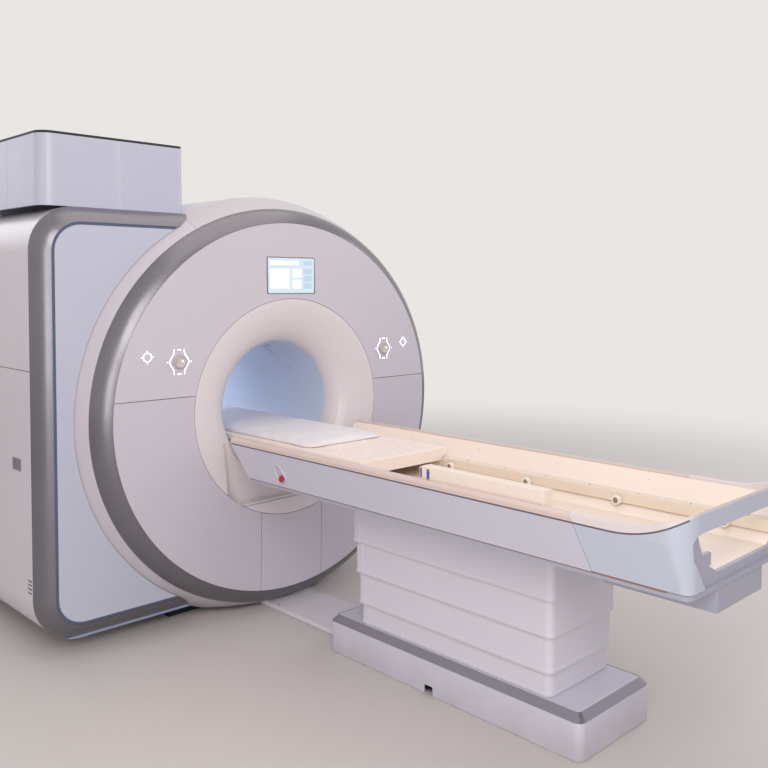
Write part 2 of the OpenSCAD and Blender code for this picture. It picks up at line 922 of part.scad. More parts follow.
module lift_column() {
    color("#777b82") box_between([-column_half, column_y0, plate_t + fit],
        [column_half, column_y1, side_bottom_z - fit]);
}

sleeve_low = concat(sleeve_z, [deck_z + fit]);
sleeve_high = concat([tray_z - fit], sleeve_z);

module sleeve_plan(inset) {
    y0 = sleeve_y1 - sleeve_len + inset;
    round_rect(-sleeve_half + inset, y0, sleeve_half - inset, sleeve_y1 - inset, sleeve_r - inset / 2);
}

// One telescoping sleeve of the lift, tucked up inside the one above.
module lift_cover(i) {
    tuck = i == 0 ? 0 : 25;
    inset = i * sleeve_step;
    wall = sleeve_step - sleeve_play;
    height = sleeve_high[i] + tuck - sleeve_low[i];
    color("#c2c1cc") translate([0, 0, sleeve_low[i]]) linear_extrude(height) difference() {
        sleeve_plan(inset);
        sleeve_plan(inset + wall);
    }
}

module lift_cover_1() {
    lift_cover(0);
}

module lift_cover_2() {
    lift_cover(1);
}

module lift_cover_3() {
    lift_cover(2);
}

module lift_cover_4() {
    lift_cover(3);
}

// Table body

// Outer half width of the table's sides at a given height.
function side_at(z) = half_w - side_draft * (line_z - z) / (line_z - side_bottom_z);

// Side view of the table with its raked head end.
module table_side_view(shrink) {
    polygon([
        [y_foot, tray_z], [y_head - head_rake * (line_z - tray_z) / (line_z - side_bottom_z) - shrink, tray_z],
        [y_head - shrink, line_z], [y_head - shrink, rim_z + 60], [y_foot, rim_z + 60]
    ]);
}

// Plan of the foot end: two straight sides and two round corners.
foot_steps = 14;
function foot_plan(half, r, y_end) = concat(
    [[-half, y_head], [half, y_head]],
    [for (i = [0:foot_steps]) let (a = 90 * i / foot_steps) [half - r + r * cos(a), y_end + r - r * sin(a)]],
    [for (i = [0:foot_steps]) let (a = 90 * i / foot_steps) [-half + r - r * sin(a), y_end + r - r * cos(a)]]
);

// Table body with its foot end, lofted from the lower edge to the rim line.
module table_loft(inset) {
    slab = 0.5;
    low = foot_plan(low_half - inset, foot_low_r - inset / 2, y_foot + inset);
    high = foot_plan(half_w - inset, foot_r - inset / 2, y_foot + inset);
    hull() {
        translate([0, 0, side_bottom_z - slab]) linear_extrude(slab) polygon(low);
        translate([0, 0, line_z - slab]) linear_extrude(slab) polygon(high);
    }
    translate([0, 0, line_z - slab]) linear_extrude(hoop_rise + rim_h) polygon(high);
}

// Height gained by the rim at a distance from the foot end.
hoop_power = 2.2;
function rise_at(d) = d > hoop_start ? 0 : pow((hoop_start - d) / hoop_start, hoop_power);

rise_steps = 12;
function rise_line(base, rise, grow) = [
    for (i = [0:rise_steps]) let (d = hoop_start * (1 - i / rise_steps))
        [y_foot + d, base + rise * rise_at(d) + grow]
];

line_rise = hoop_rise + rim_h - 11;

// Space below the dark line that runs along the rim and the hoop.
module below_line(grow) {
    along_x(-half_w - 1, half_w + 1) polygon(concat(
        [[y_foot - 1, 0], [y_head + 1, 0], [y_head + 1, line_z + grow]],
        rise_line(line_z, line_rise, grow), [[y_foot - 1, line_z + line_rise + grow]]
    ));
}

module above_line() {
    along_x(-half_w - 1, half_w + 1) polygon(concat(
        [[y_head + 1, line_z]], rise_line(line_z, line_rise, 0), [[y_foot - 1, line_z + line_rise]],
        [[y_foot - 1, rim_z + hoop_rise]], flipped(rise_line(rim_z, hoop_rise, 0)), [[y_head + 1, rim_z]]
    ));
}

// Slanted joint between the side covers and the foot cover.
module foot_part(gap) {
    top = rim_z + hoop_rise + 1;
    along_x(-half_w - 1, half_w + 1) polygon([
        [y_foot - 1, 0], [cover_seam_low - gap - 50, 0], [cover_seam_low - gap, side_bottom_z],
        [cover_seam_top - gap, line_z], [cover_seam_top - gap + 20, rim_z + 1], [cover_seam_top - gap, top],
        [y_foot - 1, top]
    ]);
}

open_top = rim_z + hoop_rise - hoop_h;
open_low = side_bottom_z + 7;

// One half of the opening below the hoop, drawn in by an inset.
function open_half(inset) = [
    [low_half - 92 - inset, tray_z + 4], [low_half - 92 - inset, open_low],
    [low_half - 26 - inset, rail_top_z], [half_w - 52 - inset, line_z],
    [half_w - 68 - inset, open_top - 6 - inset], [half_w - 92 - inset, open_top - inset]
];

module open_section(inset) {
    right = open_half(inset);
    polygon(concat(right, [for (p = flipped(right)) [-p[0], p[1]]]));
}

// Opening of the foot cover below the hoop.
module foot_opening() {
    along_y(y_foot - 1, y_foot + 130) open_section(0);
}

// Outline of the trough's shell, from its underside up to its floor, rails and walls.
frame_out_t = cover_t + 1 + fit;
wall_top_z = rim_z - 10;
shell_half = [
    [low_half - frame_out_t, side_bottom_z + fit], [half_w - frame_out_t, line_z - fit],
    [land_x - fit, line_z - fit],
    [land_x - fit, wall_top_z], [wall_foot_x, rail_top_z], [wall_foot_x, rail_z], [rail_x + 14, rail_z],
    [trough_half + 5, trough_z]
];

module frame_section() {
    polygon(concat(shell_half, [for (p = flipped(shell_half)) [-p[0], p[1]]]));
}

module estop_holes(r, length) {
    for (side = [-1, 1]) translate([side * side_at(estop_z), estop_y, estop_z]) rotate([0, 90, 0])
        cylinder(r = r, h = length, center = true);
}

// Space inside the foot cover's wall, behind the end plate.
module frame_room() {
    union() {
        table_loft(hoop_t + fit);
        box_between([-half_w, y_foot + 190, 0], [half_w, y_head + 1, rim_z]);
    }
}

module table_frame() {
    color("#eee4dc") difference() {
        intersection() {
            along_y(y_foot + end_set, y_head) frame_section();
            along_x(-half_w, half_w) table_side_view(cover_t);
            frame_room();
        }
        estop_holes(estop_r + 6, 90);
    }
}

module roller_rail() {
    along_y(y_foot + end_set, y_head - cover_t - 3)
        translate([rail_x, rail_z + fit]) square([rail_w - fit, rail_h - fit]);
}

module roller_rails() {
    color("#e9cdae") difference() {
        intersection() {
            both_sides() roller_rail();
            frame_room();
        }
        for (i = [0:roller_count - 1]) translate([-rail_x - rail_w, roller_at(i), roller_z])
            rotate([0, 90, 0])
            cylinder(r = axle_r + play, h = 2 * (rail_x + rail_w));
    }
}

// Wall of a side cover with the lip that turns in below the frame.
module side_section() {
    lip_w = 26;
    lip_z = side_bottom_z - lip_t;
    polygon([
        [half_w, line_z - fit], [low_half, side_bottom_z], [low_half, lip_z], [low_half - lip_w, lip_z],
        [low_half - lip_w, side_bottom_z], [low_half - cover_t, side_bottom_z],
        [half_w - cover_t, line_z - fit]
    ]);
}

module side_covers() {
    color("#b6b8c8") difference() {
        intersection() {
            both_sides() along_y(y_foot, y_head) side_section();
            along_x(-half_w - 1, half_w + 1) table_side_view(0);
        }
        foot_part(-seam);
        estop_holes(estop_r - 6 + fit, 60);
    }
}

module rim_section() {
    polygon([
        [half_w, line_z], [half_w, rim_z - 12], [half_w - 4, rim_z - 4], [half_w - 12, rim_z],
        [land_x + 2, rim_z], [land_x, rim_z - 3], [land_x, line_z]
    ]);
}

module rim_caps() {
    color("#d2bdb6") difference() {
        both_sides() along_y(y_foot, y_head) rim_section();
        foot_part(-seam);
    }
}

module foot_cover() {
    color("#b8bac9") difference() {
        intersection() {
            table_loft(0);
            foot_part(0);
            below_line(-fit);
        }
        table_loft_inner();
        foot_opening();
    }
}

// Space inside the foot cover: a thin wall, thicker around the end.
module table_loft_inner() {
    difference() {
        table_loft(cover_t);
        difference() {
            box_between([-half_w, y_foot - 1, 0], [half_w, y_foot + 190, rim_z + hoop_rise + 10]);
            table_loft(hoop_t);
        }
    }
    box_between([-low_half + 40, y_foot + 100, side_bottom_z - 10], [low_half - 40, y_head, rim_z]);
}

module hoop_handle() {
    color("#cdbab6") intersection() {
        translate([0, 0, line_z - 1]) linear_extrude(hoop_rise + rim_h + 3) difference() {
            polygon(foot_plan(half_w, foot_r, y_foot));
            polygon(foot_plan(land_x, foot_r - rim_w, y_foot + hoop_t));
        }
        above_line();
        foot_part(0);
    }
}

// Plate with the trough's outline that closes the foot end.
module end_plate() {
    along_y(y_foot + end_set, y_foot + hoop_t) intersection() {
        open_section(fit);
        end_profile();
    }
}

// Everything that lies below the trough's floor and rails at the foot end.
module end_profile() {
    half = [
        [half_w, tray_z], [half_w, open_top], [wall_foot_x + 38, open_top], [wall_foot_x, rail_top_z],
        [rail_x, rail_top_z], [rail_x, rail_z], [rail_x + 14, rail_z], [trough_half + 5, trough_z]
    ];
    polygon(concat(half, [for (p = flipped(half)) [-p[0], p[1]]]));
}

module under_tray() {
    set = 3;
    color("#b4b6c4") difference() {
        union() {
            intersection() {
                translate([0, 0, tray_z]) linear_extrude(tray_h - lip_t - fit)
                    polygon(foot_plan(low_half - set, foot_low_r - set, y_foot + set));
                along_x(-half_w, half_w) table_side_view(cover_t);
            }
            end_plate();
        }
        box_between([-column_half - fit, column_y0 - fit, 0], [column_half + fit, column_y1 + fit, rim_z]);
    }
}

module under_box() {
    color("#b3b4c0") along_x(box_x0, box_x1) polygon([
        [y_foot + 8, box_z], [y_foot + box_len - box_draft, box_z], [y_foot + box_len, box_z + box_draft],
        [y_foot + box_len, tray_z - fit], [y_foot + 8, tray_z - fit]
    ]);
}

function roller_at(i) = y_head - roller_first - i * roller_pitch;

// Rollers of both rails at one place along the table, each on its own pin.
module roller_pair(i) {
    place = [rail_x - 2, roller_at(i), roller_z];
    color("#f0ebe4") both_sides() translate(place) rotate([0, -90, 0]) union() {
        cylinder(r = roller_r, h = roller_w);
        translate([0, 0, -rail_w / 2]) cylinder(r = axle_r, h = rail_w / 2 + roller_w + 2);
    }
}

module roller_pair_1() {
    roller_pair(0);
}

module roller_pair_2() {
    roller_pair(1);
}

module roller_pair_3() {
    roller_pair(2);
}

module roller_pair_4() {
    roller_pair(3);
}

// Patient tabletop

module tabletop() {
    color("#f3ece6") along_y(y_top_foot, y_top_head) polygon([
        [-top_half, top_z], [-top_half, top_z - 27], [-runner_half, rail_top_z + 3], [-runner_half, runner_z],
        [runner_half, runner_z], [runner_half, rail_top_z + 3], [top_half, top_z - 27], [top_half, top_z]
    ]);
}

module mattress() {
    pad_half = top_half - 27;
    pad_y1 = y_top_head - 10;
    pad_r = 60;
    color("#e8e6ea") translate([0, 0, top_z + fit]) linear_extrude(pad_t)
        round_rect(-pad_half, pad_y1 - pad_len, pad_half, pad_y1, pad_r);
}

// Connector box on the near side with its two coil sockets.
module connector_bar() {
    slope = (rim_z - 10 - rail_top_z) / (land_x - fit - wall_foot_x);
    x0 = bar_x - bar_w;
    low0 = rail_top_z + slope * (x0 - wall_foot_x) + fit;
    low1 = rail_top_z + slope * (bar_x - wall_foot_x) + fit;
    socket_w = 12;
    color("#efe6df") mirror([1, 0, 0]) along_y(bar_y0, bar_y1)
        polygon([[x0, low0], [bar_x, low1], [bar_x, bar_top], [x0, bar_top]]);
    for (x = [x0 + 7, x0 + 29]) color("#2a5fc0")
        box_between([-x - socket_w, bar_y1 + fit, bar_top - bar_w], [-x, bar_y1 + 20, bar_top - 8]);
}

module estop() {
    skin = side_at(estop_z);
    translate([skin, estop_y, estop_z]) rotate([0, 90, 0]) {
        translate([0, 0, estop_lift]) cylinder(r1 = estop_r, r2 = estop_r - 3, h = estop_proud - estop_lift);
        translate([0, 0, -22]) cylinder(r = estop_r - 6, h = 23 + estop_lift);
    }
}

module estop_left() {
    color("#c4231c") mirror([1, 0, 0]) estop();
}

module estop_right() {
    color("#c4231c") estop();
}

module floor_duct() {
    edge = 10;
    color("#c9c8d2") along_y(base_y1 + fit, y_flare_end) polygon([
        [duct_x0, 0], [duct_x0, duct_h / 3], [duct_x0 + edge, duct_h],
        [duct_x1 - edge, duct_h], [duct_x1, duct_h / 3], [duct_x1, 0]
    ]);
}

magnet_feet();
magnet_vessel();
gradient_coil();
bore_liner();
bore_rails();
front_funnel();
funnel_insert();
front_cover_upper();
front_cover_left();
front_cover_right();
front_cover_lower();
ring_trim();
drum_rim();
crown_cover();
rear_casing();
left_casing_upper();
left_casing_lower();
body_panel();
panel_band();
panel_groove();
skirt_strip();
rear_cover();
rear_funnel();
tower_front_cover();
tower_rear_cover();
tower_seal();
service_turret();
vent_pipe();
display_screen();
control_knob_left();
control_knob_right();
call_button_left();
call_button_right();
side_latch();
table_base_plate();
table_base_cover();
table_base_bevel();
lift_column();
lift_cover_1();
lift_cover_2();
lift_cover_3();
lift_cover_4();
table_frame();
roller_rails();
side_covers();
rim_caps();
foot_cover();
hoop_handle();
under_tray();
under_box();
roller_pair_1();
roller_pair_2();
roller_pair_3();
roller_pair_4();
tabletop();
mattress();
connector_bar();
estop_left();
estop_right();
floor_duct();
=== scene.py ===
"""Looks of the whole-body magnet scanner and its patient table.

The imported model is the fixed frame. Every class below is one sub-assembly: it holds
its sizes in metres, makes its finer pieces and dresses the solids that it keeps.
The bore runs along Y, the table reaches out towards -Y, and +Z is up.
"""

import logging
import math
from dataclasses import dataclass
from enum import Enum, StrEnum
from functools import cache

import bmesh
import bpy
import numpy as np
from mathutils import Matrix, Vector


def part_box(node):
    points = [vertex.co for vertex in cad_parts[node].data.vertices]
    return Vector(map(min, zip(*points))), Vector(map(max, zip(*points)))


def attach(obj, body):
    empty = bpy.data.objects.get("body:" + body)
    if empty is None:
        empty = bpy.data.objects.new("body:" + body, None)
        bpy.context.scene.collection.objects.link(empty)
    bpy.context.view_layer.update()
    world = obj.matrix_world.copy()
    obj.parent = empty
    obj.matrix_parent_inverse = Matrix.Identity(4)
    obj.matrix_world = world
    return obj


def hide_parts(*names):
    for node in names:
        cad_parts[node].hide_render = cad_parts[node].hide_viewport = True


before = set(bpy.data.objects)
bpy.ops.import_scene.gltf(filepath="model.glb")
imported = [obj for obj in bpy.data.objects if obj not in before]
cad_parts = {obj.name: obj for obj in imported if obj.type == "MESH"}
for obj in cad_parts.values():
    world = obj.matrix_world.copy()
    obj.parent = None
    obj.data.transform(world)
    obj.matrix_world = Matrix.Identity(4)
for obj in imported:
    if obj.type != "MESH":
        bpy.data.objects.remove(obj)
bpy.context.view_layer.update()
PHOTO_WIDTH = 768
LOG = logging.getLogger("scanner")

AXIS_H = 1.099  # bore axis above the floor
Y_FRONT = -0.86  # plane of the front disc's rim
DISC_R = 1.0
MOUTH_R = 0.588
BORE_R = 0.35
DOME_H = 0.010
X, Y, UP = np.eye(3)

Tree = bpy.types.NodeTree
Socket = bpy.types.NodeSocket
Rows = list[tuple[float, float]]


class Body(StrEnum):
    """The two large bodies. A small one has the name of its node."""

    SCANNER = "scanner"
    TABLE_TOP = "patient_table_top"


class Side(Enum):
    """The two sides of the machine, seen from the foot end."""

    LEFT = -1
    RIGHT = 1

    @property
    def word(self) -> str:
        """The side's name inside the names of nodes."""
        return self.name.lower()


# --- Colour and nodes ---------------------------------------------------------


def linear(code: str, gain: float = 1.0) -> tuple[float, float, float, float]:
    """Turns an sRGB hex colour into linear light.

    Args:
        code: Six hex digits after a hash.
        gain: Factor on the linear values, for a lighter or darker mate.

    Returns:
        Red, green, blue and alpha.
    """
    srgb = np.array([int(code[i : i + 2], 16) for i in (1, 3, 5)]) / 255.0
    light = np.where(srgb <= 0.04045, srgb / 12.92, ((srgb + 0.055) / 1.055) ** 2.4)
    return (*np.clip(light * gain, 0.0, 1.0).tolist(), 1.0)


def add(tree: Tree, kind: str, inputs: dict | None = None, **settings: object) -> bpy.types.Node:
    """Adds one shader node with its settings, values and links.

    Args:
        tree: Tree that gets the node.
        kind: Node kind without its ShaderNode prefix.
        inputs: Socket name or number, and a value or a socket to link.
        **settings: The node's own properties.

    Returns:
        The new node.
    """
    made = tree.nodes.new("ShaderNode" + kind)
    for key, value in settings.items():
        setattr(made, key, value)
    for key, value in (inputs or {}).items():
        if isinstance(value, Socket):
            tree.links.new(value, made.inputs[key])
        else:
            made.inputs[key].default_value = value
    return made


MIX_FACTOR, MIX_A, MIX_B, MIX_RESULT = 0, 6, 7, 2  # sockets of the colour mix


def bare_tree(owner: bpy.types.Material | bpy.types.World) -> Tree:
    """Gives a material or a world an empty node tree.

    Args:
        owner: The material or world.

    Returns:
        Its tree.
    """
    owner.use_nodes = True
    owner.node_tree.nodes.clear()
    return owner.node_tree


def blend(tree: Tree, factor: Socket, first: object, second: object) -> Socket:
    """Mixes two colours, each a value or a socket, by a factor from first to second."""
    values = {MIX_FACTOR: factor, MIX_A: first, MIX_B: second}
    return add(tree, "Mix", values, data_type="RGBA").outputs[MIX_RESULT]


def ramp(tree: Tree, value: Socket, start: tuple, stop: tuple) -> Socket:
    """Carries a value from the range start into the range stop and clamps it."""
    limits = zip(("From Min", "From Max", "To Min", "To Max"), (*start, *stop))
    return add(tree, "MapRange", {"Value": value, **dict(limits)}).outputs["Result"]


def noise(tree: Tree, where: Socket, scale: float, detail: float, rough: float = 0.5) -> Socket:
    """A cloud pattern with so many bumps to a metre and so many octaves of detail."""
    values = {"Vector": where, "Scale": scale, "Detail": detail, "Roughness": rough}
    return add(tree, "TexNoise", values).outputs["Fac"]


def cells(tree: Tree, where: Socket, size: float) -> bpy.types.Node:
    """A pattern of cells of a size in metres."""
    return add(tree, "TexVoronoi", {"Vector": where, "Scale": 1 / size})


def stretched(tree: Tree, where: Socket, scale: tuple) -> Socket:
    """Coordinates scaled apart, so that a cloud pattern becomes lines."""
    return add(tree, "Mapping", {"Vector": where, "Scale": scale}).outputs["Vector"]


def bumped(tree: Tree, height: Socket, rise: float, strength: float, *under: Socket) -> Socket:
    """Turns a height pattern into a normal.

    Args:
        tree: The material's tree.
        height: Pattern from none to one.
        rise: Metres that one stands for.
        strength: Share of the effect.
        *under: Normal that lies below, if any.

    Returns:
        The normal.
    """
    values = {"Height": height, "Distance": rise, "Strength": strength}
    values.update({"Normal": normal for normal in under})
    return add(tree, "Bump", values).outputs["Normal"]


@dataclass(frozen=True)
class Finish:
    """A surface finish: one colour, one gloss, and the fine marks of its making."""

    name: str
    colour: str
    roughness: float = 0.45
    spread: float = 0.03  # how much lighter and darker the colour drifts
    drift: float = 0.6  # metres from a light patch to a dark one
    grain: float = 0.004  # metres across one bump of the skin
    relief: float = 0.00006  # metres that the skin's bumps stand up
    dusty: bool = False  # whether dust gathers near the floor
    wiped: float = 0.03  # how much duller and glossier the wipe marks are

    def settings(self) -> dict:
        """The shader values that are the same all over the surface."""
        return {"IOR": 1.5}

    def build(self) -> bpy.types.Material:
        """Makes the material.

        Returns:
            The new material with its node tree.
        """
        made = bpy.data.materials.new(self.name)
        tree = bare_tree(made)
        where = add(tree, "TexCoord").outputs["Object"]
        values = {**self.settings(), **self.skin(tree, where)}
        self.mark(tree, where, values)
        shader = add(tree, "BsdfPrincipled", values)
        add(tree, "OutputMaterial", {"Surface": shader.outputs["BSDF"]})
        return made

    def skin(self, tree: Tree, where: Socket) -> dict:
        """Links colour, gloss and skin to patterns in real millimetres.

        Args:
            tree: The material's tree.
            where: Object coordinates in metres.

        Returns:
            Shader inputs by name.
        """
        patch = noise(tree, where, 1 / self.drift, 3.0)
        dark, light = (linear(self.colour, 1 + way * self.spread) for way in (-1, 1))
        tint = blend(tree, patch, dark, light)
        wipe = noise(tree, where, 7.0, 2.0, 0.45)
        limits = self.roughness - self.wiped, self.roughness + self.wiped
        gloss = ramp(tree, wipe, (0.3, 0.7), limits)
        if self.dusty:
            tint = self.dust(tree, where, tint, wipe)
        bumps = noise(tree, where, 1 / self.grain, 1.5)
        normal = bumped(tree, bumps, self.relief, 0.6)
        return {"Base Color": tint, "Roughness": gloss, "Normal": normal}

    def dust(self, tree: Tree, where: Socket, tint: Socket, cloud: Socket) -> Socket:
        """Greys the lowest 160 mm, where mop water and shoes leave their haze.

        Args:
            tree: The material's tree.
            where: Object coordinates in metres.
            tint: The clean colour.
            cloud: A noise that breaks the haze up.

        Returns:
            The colour with the haze in it.
        """
        height = add(tree, "SeparateXYZ", {"Vector": where}).outputs["Z"]
        low = ramp(tree, height, (0.0, 0.16), (0.55, 0.0))
        share = add(tree, "Math", {0: low, 1: cloud}, operation="MULTIPLY").outputs["Value"]
        return blend(tree, share, tint, linear("#8F857E"))

    def mark(self, tree: Tree, where: Socket, values: dict) -> None:
        """Adds the marks that only this kind of surface has. A plain one has none.

        Args:
            tree: The material's tree.
            where: Object coordinates in metres.
            values: Shader inputs by name, which it changes.
        """


class PaintedPolyester(Finish):
    """Glass-fibre polyester cover, sprayed with satin two-pack polyurethane.

    It gives the eye a soft sheen, the faint orange peel of a sprayed skin and a
    hardly visible drift of tone from hand sanding.
    """

    def settings(self) -> dict:
        """A thin clear topcoat over the paint."""
        return {"IOR": 1.5, "Coat Weight": 0.25, "Coat Roughness": 0.22}


class MicaLacquer(Finish):
    """Silver-grey mica lacquer on a moulded edge.

    It gives the eye metallic glitter at close range and one long soft highlight.
    """

    def settings(self) -> dict:
        """Mostly metal flakes under a clear coat."""
        return {"Metallic": 0.65, "Coat Weight": 0.25, "Coat Roughness": 0.12}

    def mark(self, tree: Tree, where: Socket, values: dict) -> None:
        """Adds mica flakes of about 1.5 mm, far larger than real ones, to show.

        Args:
            tree: The material's tree.
            where: Object coordinates in metres.
            values: Shader inputs by name, which it changes.
        """
        flake = cells(tree, where, 0.0015).outputs["Color"]
        shine = add(tree, "SeparateColor", {"Color": flake}).outputs["Red"]
        glint = ramp(tree, shine, (0.0, 1.0), (0.0, 0.06))
        values["Base Color"] = blend(tree, glint, values["Base Color"], linear("#FFFFFF"))


class GelcoatLaminate(Finish):
    """Wound glass-fibre laminate under gelcoat.

    It gives the eye a glossy even skin in which the winding just shows through.
    """

    def mark(self, tree: Tree, where: Socket, values: dict) -> None:
        """Adds glass rovings 8 mm wide around the bore as a faint ribbing.

        Args:
            tree: The material's tree.
            where: Object coordinates in metres.
            values: Shader inputs by name, which it changes.
        """
        pitch = 20 * 0.008 / (2 * math.pi)
        wave = {"Vector": where, "Scale": 1 / pitch, "Distortion": 0.2, "Detail": 0.0}
        roving = add(tree, "TexWave", wave, bands_direction="Y").outputs["Fac"]
        values["Normal"] = bumped(tree, roving, 0.00004, 0.15, values["Normal"])


class HighPressureLaminate(Finish):
    """Cream melamine laminate and gelcoat of the patient's lying surfaces.

    It gives the eye a clean matt cream with wipe marks and a few hair scratches
    that run along the table.
    """

    def mark(self, tree: Tree, where: Socket, values: dict) -> None:
        """Adds hair scratches 0.4 m long, drawn 1.2 mm wide to show.

        Args:
            tree: The material's tree.
            where: Object coordinates in metres.
            values: Shader inputs by name, which it changes.
        """
        hair = noise(tree, stretched(tree, where, (800.0, 2.5, 800.0)), 1.0, 2.0)
        share = ramp(tree, hair, (0.66, 0.74), (0.0, 0.10))
        values["Base Color"] = blend(tree, share, values["Base Color"], linear(self.colour, 0.72))


class SheetMetal(Finish):
    """Sheet or bar metal, ground or rolled.

    It gives the eye fine lines one way and a duller sheen than a mirror.
    """

    def settings(self) -> dict:
        """Pure metal."""
        return {"Metallic": 1.0}

    def mark(self, tree: Tree, where: Socket, values: dict) -> None:
        """Adds grinding lines 0.5 mm apart."""
        line = noise(tree, stretched(tree, where, (2000.0, 2000.0, 12.0)), 1.0, 1.0)
        values["Normal"] = bumped(tree, line, 0.00003, 0.5)


class Elastomer(Finish):
    """Moulded rubber or soft-touch coating.

    It gives the eye no sharp reflection, only a velvety edge and a fine texture.
    """

    def settings(self) -> dict:
        """A little sheen at grazing angles."""
        return {"IOR": 1.45, "Sheen Weight": 0.15, "Sheen Roughness": 0.5}


class MouldedPlastic(Finish):
    """Injection-moulded ABS or acetal with the tool's fine spark texture.

    It gives the eye even colour and a broken, eggshell reflection.
    """


class CoatedCloth(Finish):
    """Vinyl-coated knit over foam, welded at the seams.

    It gives the eye a leathery pebble grain and soft wrinkles.
    """

    def settings(self) -> dict:
        """Vinyl with a trace of sheen."""
        return {"IOR": 1.48, "Sheen Weight": 0.08, "Sheen Roughness": 0.4}

    def mark(self, tree: Tree, where: Socket, values: dict) -> None:
        """Adds pebbles 2.5 mm wide, about twice too large to show, and wrinkles."""
        pebble = bumped(tree, cells(tree, where, 0.0025).outputs["Distance"], 0.0002, 0.5)
        values["Normal"] = bumped(tree, noise(tree, where, 22.0, 3.0), 0.003, 0.35, pebble)


@dataclass(frozen=True)
class LitAcrylic(Finish):
    """Frosted acrylic light guide, lit from behind.

    It gives the eye a cool even glow that is brighter than anything near it.
    """

    glow: float = 1.4

    def settings(self) -> dict:
        """The glow itself."""
        return {"IOR": 1.49, "Emission Color": linear(self.colour), "Emission Strength": self.glow}


class DisplayGlass(LitAcrylic):
    """Dark glass with light from behind.

    It gives the eye a clear picture whose glow doesn't change with the room's light.
    """

    def skin(self, tree: Tree, where: Socket) -> dict:
        """Keeps the glass smooth and dark, so that only its glow shows."""
        return {"Base Color": linear("#20242A"), "Roughness": self.roughness}


